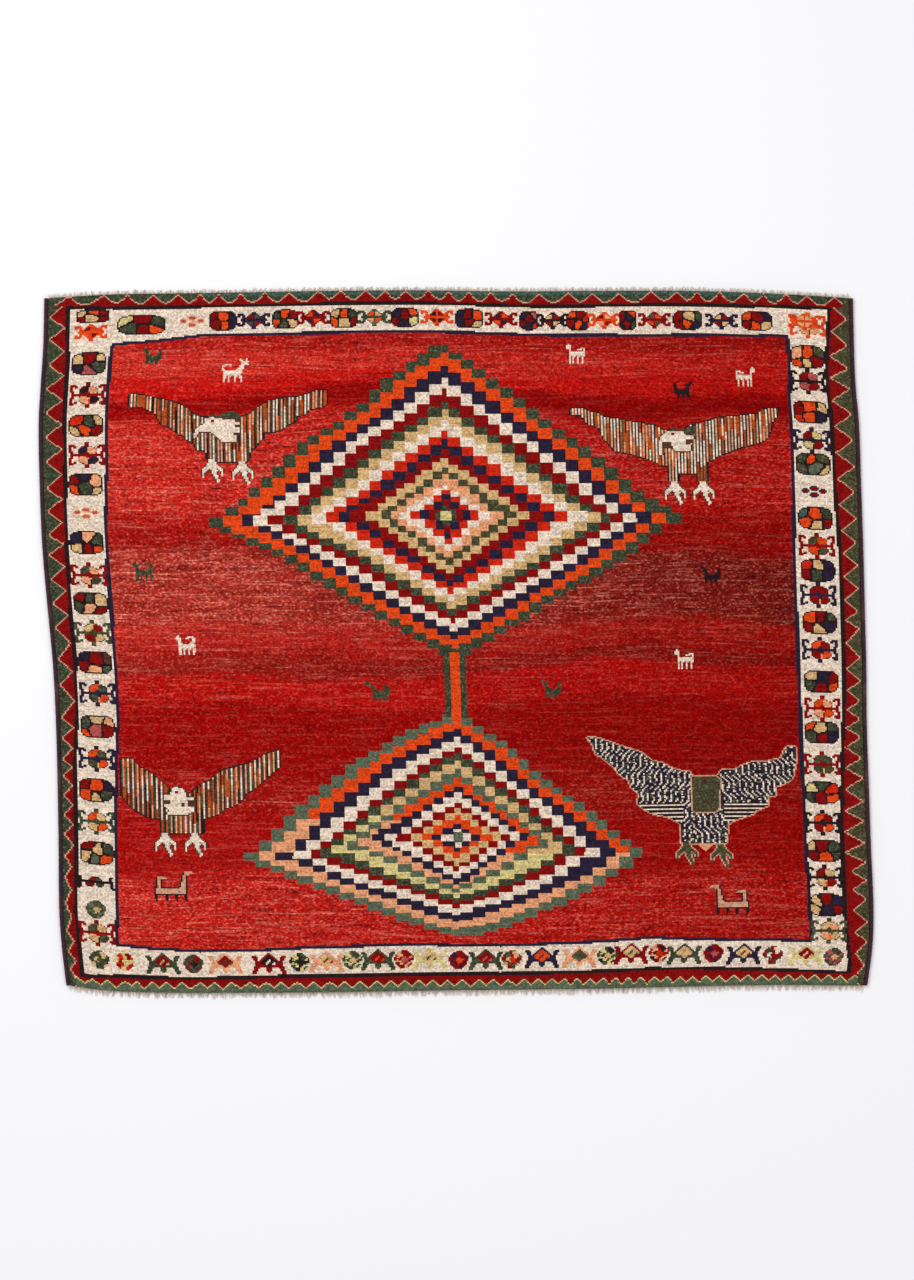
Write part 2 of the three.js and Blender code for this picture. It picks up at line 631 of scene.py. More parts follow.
LOWER_MEDALLION = SteppedMedallion(
    middle=251.5,
    axis=outline((248.4, 41), (251.5, 103), (253.6, 200)),
    left_outline=outline(
        (250, 41), (240, 43), (225, 49), (207, 56), (183, 69), (162, 78), (145, 86), (127, 95),
        (114, 103), (124, 112), (132, 120), (139, 128), (156, 145), (172, 160), (183, 171),
        (198, 181), (213, 191), (230, 201), (251, 209.6),
    ),
    right_outline=outline(
        (255, 40), (265, 42), (288, 50), (303, 58), (324, 68), (341, 78), (364, 92), (370, 101),
        (361, 110), (354, 117), (346, 125), (335.5, 137), (322, 148), (310, 158), (299, 170),
        (287, 184), (271, 197), (260, 205), (253, 209.6),
    ),
    runs=Runs(7.8, 7.2, 9, 8.4),
    rings=read_rings(
        "H 114 370 209.6 41 102.5",
        "OP 125.5 362 204.5 46 103",
        "N 136 353.5 198 51.5 103",
        "I 147 343 191.5 57 103",
        "C 158.5 333.5 184.5 62 103.5",
        "G 165 327 180 66 104.5",
        "ME 172 319 174.5 69.5 107",
        "H 182 309.5 167.5 73.5 110",
        "OP 189 303 161 77 113",
    ),
    left_change_row=131,
    right_change_row=105,
)
LOWER_HEART = SteppedMedallion(
    middle=251.5,
    axis=outline((250, 80), (251.5, 116), (253, 154)),
    left_outline=outline((251.5, 80), (197, 116), (251.5, 154)),
    right_outline=outline((251.5, 80), (296.5, 116), (251.5, 154)),
    runs=Runs(6.8, 6, 6.6, 5.8),
    rings=read_rings(
        "N 197 296.5 154 80 116",
        "I 205 291 149.5 85 116",
        "C 212.5 285 142 90 116",
        "M 222 279 138 94 116",
        "O 229 274 133 100 116",
        "N 235 266 126 105 116",
        "I 241 260 122.5 108.5 116",
        "H 248.8 254.6 120 112 116",
    ),
)

class Motif(Enum):
    """The border's figures, one letter a knot: a to d stand for a figure's own yarns."""

    PATCHES = ()
    SIDE_HOOKS = (
        "..........aaa..........",
        "..........aaa..........",
        "aaaa......aaa......aaaa",
        "aaaaa...aabbbca...aaaaa",
        "aa.aa..abbbbcccca.aa.aa",
        "aa....abbbbbccccca...aa",
        "aa....bbbbbbcccccc...aa",
        "aaa...bbbbbacccccc..aaa",
        ".aa...abbbaaacccca..aa.",
        ".aaaaaaaaaaaaaaaaaaaaa.",
        ".aaaaaaaaaaaaaaaaaaaaa.",
        ".aa...accccaaabbba..aa.",
        "aaa...cccccccabbbbb.aaa",
        "aa....ccccccdbbbbbb..aa",
        "aa....acccccdbbbbba..aa",
        "aa.aa..accccdbbbba.aaaa",
        "aaaaa...aaccdbbaa..aaaa",
        "aaa.......aaa.......aaa",
        "..........aaa..........",
        "..........aaa..........",
    )
    TOP_HOOKS = (
        ".........aaa.........",
        "aaaa....aaaaa....aaaa",
        "aaaaa..abbacca..aaaaa",
        "aa.aa.abbbacccaaaa.aa",
        "...aaabbbbaccccaaa...",
        "..aaaaaaaaaaaaaaaaa..",
        "..aaaaaaaaaaaaaaaaa..",
        "...aaaccccabbbbaaa...",
        "aa.aa.acccabbbaaaa.aa",
        "aaaaa..accabba..aaaaa",
        "aaaa....aaaaa....aaaa",
        ".........aaa.........",
        ".........aaa.........",
    )
    BOTTOM_HOOKS = (
        "..........aa..........",
        ".........aaaa.........",
        "aaa.....aabbaa.....aaa",
        "aaaa...aabbbbaa...aaaa",
        ".aaa..aabbbbbbaa..aaa.",
        ".aaa.aabbbbcbbbaa.aaa.",
        "..aaaabbbbccbbbbaaaa..",
        "..aaaabbbccbbbcbaaaa..",
        "..aaaaabbcbbbccaaaaa..",
        "..aaaaaaabbbbaaaaaaa..",
        ".aaaaaaaaabbaaaaaaaaa.",
        ".aaaa....aaaa....aaaa.",
        ".aaa.....aaaa.....aaa.",
        "aaaa.....aaaa.....aaaa",
        "aaa.......aa.......aaa",
        "aaa................aaa",
    )
    ROSETTE = (
        ".....aaaa....",
        "...bbaaccc...",
        "..bbbaacccc..",
        ".abbbbaaccca.",
        ".aabbbaacccba",
        "aabbccddccbba",
        "aaaccdddddaaa",
        "aabccddddaaaa",
        ".bbbbcdddaab.",
        ".cccbbdaabbb.",
        ".cccbbaabbcc.",
        "..ccaaabbcc..",
        "...caaabbc...",
        "....aaabb....",
    )
    DOTS = (
        "......aaaa......",
        ".....abbbba.....",
        ".aaa.abbbba.aaa.",
        "abbba.aaaa.abbba",
        "abbba......abbba",
        ".aaa..aaaa..aaa.",
        ".....abbbba.....",
        ".....abbbba.....",
        "......aaaa......",
    )
    TABLE = (
        "aaa......aaaaa......aaa.",
        ".aa.....abbbcca.....aa..",
        ".aa....abbbbccca....aa..",
        ".aaaaaaaaaaaaaaaaaaaaaa.",
        ".aaaaaaaaaaaaaaaaaaaaaa.",
        ".aa..abbbba.accca....aa.",
        ".aa..abbbba.accca....aa.",
        ".aa...aaaa...aaa.....aa.",
        "aaa..................aaa",
        "aa....................aa",
    )


@dataclass(frozen=True)
class PatchCluster:
    """A rounded block of coloured patches parted by dark lines."""

    middle: Point
    width: float
    height: float
    yarns: tuple[Yarn, ...]
    line: Yarn = Yarn.BLACK
    across: int = 3
    down: int = 2
    roundness: float = 3.4
    line_width: float = 1.3
    stray_across: float = 0.2
    stray_down: float = 0.28

    def weave(self, chart: LoomChart) -> None:
        """Tie the patches, then the lines between and round them.

        Args:
            chart: The chart to tie on.
        """
        x = (chart.column + 0.5 - self.middle.column) / (self.width / 2)
        y = (chart.row + 0.5 - self.middle.row) / (self.height / 2)
        shape = np.abs(x) ** self.roundness + np.abs(y) ** self.roundness < 1
        nearest = np.full(shape.shape, np.inf)
        second = nearest.copy()
        owner = np.zeros(shape.shape, dtype=int)
        for place in range(self.across * self.down):
            across = (place % self.across + 0.5) / self.across * 2 - 1
            across += chart.random.uniform(-self.stray_across, self.stray_across)
            down = (place // self.across + 0.5) / self.down * 2 - 1
            down += chart.random.uniform(-self.stray_down, self.stray_down)
            distance = np.hypot((x - across) * self.width / 2, (y - down) * self.height / 2)
            closer = distance < nearest
            second = np.where(closer, nearest, np.minimum(second, distance))
            nearest = np.where(closer, distance, nearest)
            owner[closer] = int(self.yarns[place % len(self.yarns)])
        core = shape & ~grown(~shape)
        chart.cells[shape] = self.line
        patch = core & (second - nearest > self.line_width)
        chart.cells[patch] = owner[patch]


@dataclass(frozen=True)
class BorderFigure:
    """One figure of the border, by its place along a side, its motif and its yarns' letters."""

    at: float
    motif: Motif
    letters: str
    width: float = 22.0
    height: float = 17.5
    shift: float = 0.0

    def weave(self, chart: LoomChart, middle: Point) -> None:
        """Tie the figure.

        Args:
            chart: The chart to tie on.
            middle: The figure's middle.
        """
        yarns = tuple(YARN_LETTERS[letter] for letter in self.letters)
        if self.motif is Motif.PATCHES:
            PatchCluster(middle, self.width, self.height, yarns).weave(chart)
            return
        drawing = self.motif.value
        left = middle.column - len(drawing[0]) / 2
        top = middle.row + len(drawing) / 2
        chart.stamp(drawing, left, top, dict(zip("abcd", yarns)))


class Creature(Enum):
    """The field's small animals, w for the animal's yarn and k for its dark outline."""

    GOAT = (
        "...........w...w.",
        "...........ww..w.",
        "............wwwww",
        "............wwww.",
        ".wwwww......wwwww",
        "ww...w.....www...",
        "w..........www...",
        "w.........wwww...",
        "ww.......wwww....",
        ".wwwwwwwwwwww....",
        ".wwwwwwwwwwww....",
        ".wwwwwwwwwww.....",
        ".wwwwwwwwwww.....",
        ".ww.ww..ww.ww....",
        ".ww.w...w..ww....",
        *(".w..w...w...w....",) * 3,
    )
    DOG = (
        "..w...........",
        ".ww.....wwww..",
        "wwww...ww..ww.",
        ".www.......ww.",
        "..ww.......ww.",
        "..ww......www.",
        "..www....www..",
        "..wwwwwwwwwww.",
        "..wwwwwwwwwww.",
        "..wwwwwwwwww..",
        "..ww.ww.ww.ww.",
        "..ww.w..w..ww.",
        "..ww.w..w..ww.",
        "..ww.w..w..w..",
        "..ww.w..w..w..",
    )
    KID = (
        ".w..........",
        "www.........",
        "www.........",
        "www......www",
        "..w....www.w",
        "..w........w",
        *("..wwwwwwwwww",) * 3,
        "..w.ww.ww.ww",
        *("..w.w..w..w.",) * 5,
    )
    FAWN = (
        "w...........",
        "ww..........",
        "www.......ww",
        ".www......ww",
        ".www......ww",
        "..ww......ww",
        "..www....www",
        *("..wwwwwwwwww",) * 3,
        "..wwwwwwwww.",
        "..ww.ww.ww..",
        "..ww.ww.ww..",
        "..w...w..w..",
    )
    EWE = (
        ".www..............",
        "wwwww.............",
        "..wwww............",
        "....www......www..",
        ".....www....wwwww.",
        "......ww......www.",
        "......wwww...wwww.",
        *("......wwwwwwwwwww.",) * 3,
        "......wwwwwwwwww..",
        "......wwwwwwwwww..",
        "......ww.ww.ww.w..",
        "......ww.ww.ww.w..",
        "......w...w..w.w..",
    )
    STALLION = (
        "....................wwwww.",
        "...................kwwwwww",
        "...................kwww...",
        "..................kwwk....",
        "...wwwww..........kwwk....",
        "..kwwwwww.........kwwk....",
        "..kwwkkkk.........kwwk....",
        "..kwwk............kwwk....",
        *("..kwwk...........kwwwk....",) * 3,
        "..kwwk..........kkwwwk....",
        ".kkwwkkkkkkkkkkkkwwwwk....",
        *(".kwwwwwwwwwwwwwwwwwwwk....",) * 4,
        ".kkkkkkkkkkkkkkkkkkkkk....",
        *(".kk.....kk....kk....kk....",) * 3,
        "..k.....kk.....k....kk....",
        "..k......k.....k.....k....",
    )


LEFT_FIGURES = {
    Motif.TOP_HOOKS: "501 OCOW",
    Motif.PATCHES: (
        "478 NRGMCM, 430.5 MOCSGM, 385.5 OGMCNP, 341 MCONPG, 294.5 GPCCGM, 249.5 CPGNCW, 200.5 ORCGMP, "
        "152 OMGCON, 104 MHOCMG"
    ),
    Motif.SIDE_HOOKS: (
        "453.5 CKPO, 408 CNPK, 316 CGPK, 272 LMCG, 226 NOGP, 175.5 NOLM, 128 GOMK, 43 CGMK"
    ),
    Motif.DOTS: "363 PR",
    Motif.TABLE: "80.5 KCG",
    Motif.ROSETTE: "61 LHLM",
}
RIGHT_FIGURES = {
    Motif.SIDE_HOOKS: (
        "506.7 OPMC, 464.4 KCRC, 419 NCEK, 338.2 CLOK, 300.5 NCCM, 257.5 NOCP, 212.8 COPK, 170.5 CLGE, "
        "125.1 KOCM, 82.7 KCMO, 41.9 LMPO"
    ),
    Motif.PATCHES: (
        "482.9 OMCPOL, 440.6 SONCOM, 400.6 LHMGOL, 359 OMCBOG, 319 CGNSMN, 279 CMNOCG, 233.6 GCOMNC, "
        "194.3 GCNOMG, 148.2 GCOEGS, 103.5 COGMCG, 61.9 MNCMCN"
    ),
    Motif.DOTS: "379 NC",
}
TOP_FIGURES = {
    Motif.PATCHES: (
        "28.5 CMCMOC 22 10.5 8, 59.8 GCOECG 31 15, 111.7 CONCON 18 15, 151.7 OGMGOC 17 15, 189.1 OMCMOG "
        "18 15, 228.1 CNENCO 18 15, 269.1 NCMNCO 18 15, 307.2 CNSNCR 12 15, 338.8 CONOCS 15 15, 370.5 "
        "NCGCNO 12 15, 408.9 CONCMG 19 15, 453.1 COMOCN 20 15"
    ),
    Motif.DOTS: "92.5 PR",
    Motif.TOP_HOOKS: (
        "131.8 NCGM, 169.6 CONM, 208.6 GOPC, 248 OKCL, 289.6 CNOS, 322.2 KMCG, 355.8 OCPK, 387.1 CGOK, "
        "430.3 NMCO, 483.5 OPMC"
    ),
}
BOTTOM_FIGURES = {
    Motif.ROSETTE: (
        "20.5 GGML, 37 ESCE, 80.5 GGCK, 148.2 KEGK, 182.6 GEGM, 215.9 CPCR, 250 CNCO, 284.6 CGMS, 345.9 "
        "GEKM, 378.9 CPKS, 413.6 CNCR, 451.5 CGIC, 491 GRGP"
    ),
    Motif.BOTTOM_HOOKS: (
        "61 GCM, 100.7 PCG, 128.7 CKI, 165.6 PMC, 199.3 GCO, 232 EMG, 267.6 GCR, 303.9 NOW, 327.6 PLG, "
        "361.3 CMG, 395 GMP, 432.5 NMC, 473 ECM"
    ),
}


def read_figures(side: Mapping[Motif, str], downwards: bool) -> list[BorderFigure]:
    """Read the figures of one side of the border.

    Args:
        side: For each motif its figures: place, letters and, where they differ, width, height and shift.
        downwards: Whether they are tied from the highest place to the lowest.

    Returns:
        The figures, in the order of tying.
    """
    found = []
    for motif, figures in side.items():
        for figure in figures.split(","):
            place, letters, *sizes = figure.split()
            found.append(BorderFigure(float(place), motif, letters, *map(float, sizes)))
    return sorted(found, key=lambda figure: figure.at, reverse=downwards)


@dataclass(frozen=True)
class SmallAnimal:
    """One small animal on the field, by its drawing's upper left knot."""

    creature: Creature
    column: float
    row: float
    yarn: Yarn
    turned: bool = False

    def weave(self, chart: LoomChart) -> None:
        """Tie the animal, turned to face the other way if asked."""
        drawing = [line[::-1] if self.turned else line for line in self.creature.value]
        chart.stamp(drawing, self.column, self.row, {"w": self.yarn, "k": Yarn.BLACK})


FOOT = (
    "....kwwwwk.....",
    "....kwwwwk.....",
    "....kwwwwwk....",
    "...kwwwwwwk....",
    "...kwwwwwwwk...",
    "..kwwwwwwwwwk..",
    ".kwwwwwwwwwwwk.",
    "kwwwwkwwwwkwwwk",
    "kwwwk.kwwwwkwwk",
    "kwwk..kwwwk.kwk",
    "kwk...kwwwk.kwk",
    "kwk....kwwk..w.",
    ".w.....kwwwk.w.",
    ".w......kwwk...",
    "........kwwk...",
    ".........kww...",
    ".........kww...",
    "..........w....",
)


@dataclass(frozen=True)
class Bird:
    """A spread-winged bird: one outline for its wings and tail, a body, a crest and two feet."""

    plumage: tuple[Point, ...]
    body: tuple[Point, ...]
    crest: tuple[Point, ...]
    notches: tuple[tuple[float, float, float, float], ...]
    eye: Point
    feet: tuple[Point, ...]
    body_yarn: Yarn = Yarn.IVORY
    crest_yarn: Yarn = Yarn.GREEN
    feather_edge: Yarn = Yarn.BLACK
    body_edge: Yarn = Yarn.BROWN
    eye_size: int = 2

    def weave(self, chart: LoomChart) -> None:
        """Tie the feathers, the feet, the crest and the body.

        Args:
            chart: The chart to tie on.
        """
        feathers = chart.within(self.plumage)
        chart.paint(feathers, Yarn.BROWN, edge=self.feather_edge)
        self.feather(chart, feathers)
        for foot in self.feet:
            left = foot.column - len(FOOT[0]) / 2
            chart.stamp(FOOT, left, foot.row, {"w": self.body_yarn, "k": self.body_edge})
        chart.paint(chart.within(self.crest), self.crest_yarn)
        chart.paint(chart.within(self.body), self.body_yarn, edge=self.body_edge)
        for left, bottom, right, top in self.notches:
            chart.block(left, bottom, right, top, Yarn.BROWN)
        left, bottom = self.eye
        chart.block(left, bottom, left + self.eye_size, bottom + self.eye_size, Yarn.CRIMSON)

    def feather(self, chart: LoomChart, feathers: np.ndarray) -> None:
        """Leave the feathers plain; a kind of bird ties its own."""


@dataclass(frozen=True)
class StripedBird(Bird):
    """A bird with upright feather stripes, p for a pale column and d for a dark one."""

    cycle: str = "pdpdd"
    shortest: int = 7
    longest: int = 20

    def feather(self, chart: LoomChart, feathers: np.ndarray) -> None:
        """Tie the stripes, each broken into runs of one yarn.

        Args:
            chart: The chart to tie on.
            feathers: True at each knot of the wings and tail.
        """
        yarns = {
            "p": (Yarn.IVORY, Yarn.IVORY, Yarn.BLUSH, Yarn.PEACH, Yarn.RUST),
            "d": (Yarn.BROWN, Yarn.RUST, Yarn.BLACK, Yarn.BROWN, Yarn.OLIVE),
        }
        for column in np.flatnonzero(feathers.any(axis=0)):
            rows = np.flatnonzero(feathers[:, column])
            row = int(rows[0])
            while row <= rows[-1]:
                run = int(chart.random.integers(self.shortest, self.longest))
                choices = yarns[self.cycle[column % len(self.cycle)]]
                yarn = choices[int(chart.random.integers(len(choices)))]
                stretch = slice(row, row + run)
                chart.cells[stretch, column][feathers[stretch, column]] = yarn
                row += run


@dataclass(frozen=True)
class SpeckledBird(Bird):
    """A dark bird with pale, wavy barbs, and level bars across the foot of its wings."""

    barb_step: float = 3.7
    barb_width: float = 1.15
    barb_wave: float = 1.3
    barb_lean: float = 0.4
    wave_rows: float = 2.1
    gap_share: float = 0.25
    black_share: float = 0.28
    green_share: float = 0.14
    bar_rows: tuple[int, int] = (126, 140)
    bar_step: int = 3
    tail: tuple[float, float] = (396.0, 422.0)

    def feather(self, chart: LoomChart, feathers: np.ndarray) -> None:
        """Tie the mottled ground, the leaning barbs and the bars.

        Args:
            chart: The chart to tie on.
            feathers: True at each knot of the wings and tail.
        """
        draw = chart.random.random(feathers.shape)
        chart.cells[feathers] = Yarn.NAVY
        chart.cells[feathers & (draw < self.black_share)] = Yarn.BLACK
        chart.cells[feathers & (draw > 1 - self.green_share)] = Yarn.GREY_GREEN
        lean = np.where(chart.column < self.body[0].column, -self.barb_lean, self.barb_lean)
        along = chart.column + self.barb_wave * np.sin(chart.row / self.wave_rows) + lean * chart.row
        whole = chart.random.random(along.shape) > self.gap_share
        chart.cells[feathers & whole & (along % self.barb_step < self.barb_width)] = Yarn.IVORY
        beside_tail = (chart.column < self.tail[0]) | (chart.column >= self.tail[1])
        first, last = self.bar_rows
        barred = feathers & beside_tail & (chart.row >= first) & (chart.row < last)
        pale = (chart.row - first) % self.bar_step == 0
        chart.cells[barred] = Yarn.BLACK
        chart.cells[barred & pale] = Yarn.IVORY


UPPER_LEFT_BIRD = StripedBird(
    plumage=outline(
        (54, 454.5), (62, 453), (76, 449.5), (84, 447), (91, 442.5), (96, 438), (101, 435.5), (124, 436),
        (130, 437), (134, 441.5), (139, 445.5), (143, 448), (151, 449.5), (161, 450.5), (168, 453),
        (173, 455), (179, 455), (179.5, 447), (178, 443), (168, 440.5), (166, 437), (160, 436),
        (159.5, 432), (155, 429.5), (152, 426), (146, 424), (139, 423.5), (138.5, 418.5), (135, 416),
        (134, 412.5), (131, 411.5), (129, 402), (104, 402), (102, 411), (97, 411.5), (95, 417), (91, 418),
        (89, 422), (84, 424), (80, 429), (75, 430.5), (72, 436), (70, 440), (63, 443.5), (54, 444.5),
    ),
    body=outline(
        (102, 434.5), (106, 436), (113, 434.5), (124, 434.5), (124, 424.5), (122, 422), (122, 417),
        (112.5, 417), (111, 420), (108, 423), (104, 425.5), (99, 425.5), (96, 420), (94.5, 420),
        (96, 426), (99, 429.5), (102, 431),
    ),
    crest=outline((102, 435), (107, 438.5), (110, 437), (117, 440.5), (122, 439.5), (125, 436), (125, 434)),
    notches=((121, 432, 125, 433.5), (121, 427.5, 125, 429.5), (120, 422, 125, 424)),
    eye=Point(106, 432),
    feet=(Point(106.5, 404), Point(125.5, 402)),
)
UPPER_RIGHT_BIRD = StripedBird(
    plumage=outline(
        (333.5, 440.5), (341, 441.5), (345, 438.5), (351, 437), (354, 434.5), (363, 432.5), (371, 430.5),
        (377, 430), (380, 428.5), (386, 427.5), (390, 424.5), (404, 424.5), (408, 427.5), (413, 429),
        (420, 431), (427, 434), (440, 435.5), (451, 437.5), (454, 441), (464, 442.5), (463, 436),
        (460, 431), (458.5, 424), (456, 418), (451, 415), (444, 413), (438, 410.5), (432, 407.5),
        (425, 404.5), (422, 401.5), (418, 400), (418, 385), (412.5, 385), (412, 391), (400, 391),
        (399.5, 385), (394, 385), (393.5, 397), (389, 396.5),
        (385, 400), (380, 402.5), (374, 404.5), (368, 406.5), (360, 408.5), (357, 413), (353, 418),
        (350.5, 426), (344, 428.5), (341, 432.5), (340, 436), (333.5, 436),
    ),
    body=outline(
        (391.5, 421), (394, 423.5), (403, 423.5), (405, 420.5), (410.5, 419.5), (410.5, 417.5), (405, 416.5),
        (405, 413.5), (408, 413), (408, 408.5), (398, 408), (396, 413), (396, 415.5), (390, 415.5),
        (389.5, 405), (387.5, 405), (388, 413), (389, 418),
    ),
    crest=outline((390, 422), (395, 424.5), (397, 428), (398, 425), (405, 424.5), (411, 428), (411, 421)),
    notches=((391, 410, 396, 415), (405, 413.5, 409, 416.5)),
    eye=Point(396, 420.5),
    feet=(Point(397, 385), Point(415.5, 385)),
    cycle="pd",
)
LOWER_LEFT_BIRD = StripedBird(
    plumage=outline(
        (38.5, 176.5), (45, 177.5), (50, 170.5), (57, 166.5), (61, 162), (65, 158.5), (69, 154), (79, 149),
        (84, 153), (88, 157), (96, 162), (101, 168), (108, 170), (114, 172), (121, 174), (127, 178),
        (132, 181), (139, 183.5), (138.5, 170), (132, 163.5), (128, 159), (123, 154), (118, 151.5),
        (114, 145), (110, 142), (103, 139), (101, 136), (94, 133), (90.5, 132), (89.5, 121), (63.5, 121),
        (62.5, 131.5), (58, 132), (53, 133.5), (48, 137), (44, 140), (38.5, 148),
    ),
    body=outline(
        (70, 154), (72, 156), (77, 155), (79, 151), (79, 148), (84, 148.5), (84, 137.5), (80, 135.5),
        (67, 135.5), (68, 138.5), (65, 141), (65, 150.5), (69, 150.5),
    ),
    crest=outline((69, 154), (74, 157.5), (79, 154), (79, 152)),
    notches=((64, 143, 69, 146.5), (80, 141, 85, 146), (76, 141, 78, 144)),
    eye=Point(72, 151),
    feet=(Point(65.5, 121), Point(84.5, 121)),
    cycle="pdd",
)
LOWER_RIGHT_BIRD = SpeckledBird(
    plumage=outline(
        (336, 191), (341, 191), (350, 187.5), (356, 184.5), (364, 181.5), (371, 178.5), (378, 172),
        (384, 170.5), (390, 166.5), (395, 164.5), (401, 163.5), (402, 160), (418, 160), (421, 164.5),
        (429, 165), (435, 168.5), (441, 171), (449, 171), (460, 174), (461, 179), (463, 182.5), (469, 183),
        (469, 172), (466, 158), (461, 154.5), (455, 152), (455, 145.5), (450, 145), (449.5, 137),
        (442, 133.5), (441, 131), (435, 129), (429, 126.5), (424, 123.5), (423, 109), (394.5, 109),
        (394.5, 122), (392, 126), (385, 130), (377, 132), (370, 136), (367, 139.5), (368, 148),
        (364, 151), (361, 159), (356, 162), (352, 169), (347, 174), (341, 178.5), (340, 184),
    ),
    body=outline(
        (402, 160), (402, 135), (404, 133), (417, 133), (418.5, 136), (419, 142.5), (420, 158), (418, 160),
    ),
    crest=outline((404, 108), (415, 108), (410, 103)),
    notches=(),
    eye=Point(409, 156),
    feet=(Point(398, 109.5), Point(419, 108.5)),
    body_yarn=Yarn.OLIVE,
    crest_yarn=Yarn.PEACH,
    feather_edge=Yarn.BLUSH,
    body_edge=Yarn.BLUSH,
)

LEFT_TIPS = (
    -6, 12, 26, 42, 63, 83, 99, 116, 131, 146, 161, 174, 190, 206, 231, 251, 275, 294, 312.5, 331.5,
    347, 365, 383, 403, 422, 441, 459.5, 478, 497.5, 514, 534, 552,
)
RIGHT_TIPS = (
    -3, 15, 33, 48.5, 66, 80.5, 94.5, 109.5, 126.5, 141.5, 159.5, 175, 191, 205, 219, 234.5, 252.5, 274.5,
    288, 305, 324, 341, 359, 380, 399.5, 420, 440, 459.5, 475, 493, 513, 532, 550,
)
TOP_TIPS = (
    -4, 12.5, 35.5, 50.5, 67, 83, 97, 109, 123, 138.5, 154, 172.5, 187, 203, 215.5, 228.5, 243, 256, 269,
    283, 297, 314, 332.5, 348, 365, 385.5, 402, 415, 429.5, 445, 457.5, 472, 485.5, 503, 520,
)
BOTTOM_TIPS = (
    -5, 4.5, 14.5, 24, 35.5, 43, 53, 62, 72, 84, 93, 104, 116, 126.5, 136, 146.5, 157, 167.5, 177, 187, 198,
    207, 216, 225, 234, 243.5, 253, 264, 273, 282.5, 293, 302, 311, 319, 327, 335.5, 344, 352, 360, 368,
    377, 385, 393.5, 401.5, 410, 418.5, 428, 437, 446, 454.5, 463, 471.5, 480, 489, 496.5, 506, 516,
)
ANIMALS = (
    SmallAnimal(Creature.GOAT, 112, 480, Yarn.IVORY),
    SmallAnimal(Creature.FAWN, 61, 490, Yarn.GREEN),
    SmallAnimal(Creature.KID, 331, 490, Yarn.IVORY),
    SmallAnimal(Creature.FAWN, 399, 462, Yarn.BLACK, turned=True),
    SmallAnimal(Creature.KID, 439, 473, Yarn.IVORY, turned=True),
    SmallAnimal(Creature.DOG, 53, 327, Yarn.GREEN),
    SmallAnimal(Creature.DOG, 76, 271, Yarn.IVORY),
    SmallAnimal(Creature.FAWN, 412, 321, Yarn.BLACK),
    SmallAnimal(Creature.EWE, 194, 234, Yarn.GREEN),
    SmallAnimal(Creature.FAWN, 308, 235, Yarn.GREEN),
    SmallAnimal(Creature.KID, 393, 257, Yarn.IVORY),
    SmallAnimal(Creature.STALLION, 57, 92, Yarn.BLUSH),
    SmallAnimal(Creature.STALLION, 411, 77, Yarn.BLUSH, turned=True),
)


@dataclass(frozen=True)
class Stem:
    """The orange stem that joins the two medallions, in its green casing."""

    casing: tuple[float, float, float, float] = (246, 205, 260, 258)
    inset_casing: tuple[float, float, float, float] = (246, 207, 260, 253)
    heart: tuple[float, float, float, float] = (250, 203, 256, 256)

    def weave(self, chart: LoomChart, inset: bool) -> None:
        """Tie the stem.

        Args:
            chart: The chart to tie on.
            inset: Whether to tie the part that shows over the medallions' tips.
        """
        chart.block(*(self.inset_casing if inset else self.casing), Yarn.GREEN)
        if inset:
            chart.block(*self.heart, Yarn.ORANGE)


@dataclass(frozen=True)
class RugDesign:
    """The whole design: border, guards, medallions, stem, birds and small animals."""

    frame: Frame = Frame()
    stem: Stem = Stem()

    def weave(self) -> LoomChart:
        """Tie the whole rug.

        Returns:
            The finished chart.
        """
        chart = LoomChart()
        self.frame.weave(chart)
        self.weave_guards(chart)
        self.weave_border(chart)
        self.stem.weave(chart, inset=False)
        for medallion in (UPPER_MEDALLION, UPPER_HEART, LOWER_MEDALLION, LOWER_HEART):
            medallion.weave(chart)
        self.stem.weave(chart, inset=True)
        for bird in (UPPER_LEFT_BIRD, UPPER_RIGHT_BIRD, LOWER_LEFT_BIRD, LOWER_RIGHT_BIRD):
            bird.weave(chart)
        for animal in ANIMALS:
            animal.weave(chart)
        return chart

    def weave_guards(self, chart: LoomChart) -> None:
        """Tie the toothed guards outside the border.

        Args:
            chart: The chart to tie on.
        """
        SideGuard(LEFT_TIPS, False, Yarn.GREEN).weave(chart, self.frame)
        SideGuard(RIGHT_TIPS, True, Yarn.OLIVE).weave(chart, self.frame)
        EndGuard(
            at_top=True,
            tips=TOP_TIPS,
            tooth_base=1.9,
            tooth_height=7.2,
            sharpness=1.8,
            tooth=Yarn.CRIMSON,
            behind=Yarn.GREEN,
            line=Yarn.BLUSH,
        ).weave(chart, self.frame)
        EndGuard(
            at_top=False,
            tips=BOTTOM_TIPS,
            tooth_base=3.2,
            tooth_height=5.0,
            sharpness=0.9,
            tooth=Yarn.GREY_GREEN,
            behind=Yarn.CRIMSON,
            line=Yarn.YELLOW,
        ).weave(chart, self.frame)

    def weave_border(self, chart: LoomChart) -> None:
        """Tie the border's figures on its four sides."""
        for line, side in ((self.frame.left, LEFT_FIGURES), (self.frame.right, RIGHT_FIGURES)):
            for figure in read_figures(side, downwards=True):
                figure.weave(chart, Point(self.frame.middle(line, figure.at) + figure.shift, figure.at))
        for line, side in ((self.frame.top, TOP_FIGURES), (self.frame.bottom, BOTTOM_FIGURES)):
            for figure in read_figures(side, downwards=False):
                figure.weave(chart, Point(figure.at, self.frame.middle(line, figure.at) + figure.shift))


class Edge(Enum):
    """The pile's four edges."""

    BOTTOM = "bottom"
    RIGHT = "right"
    TOP = "top"
    LEFT = "left"


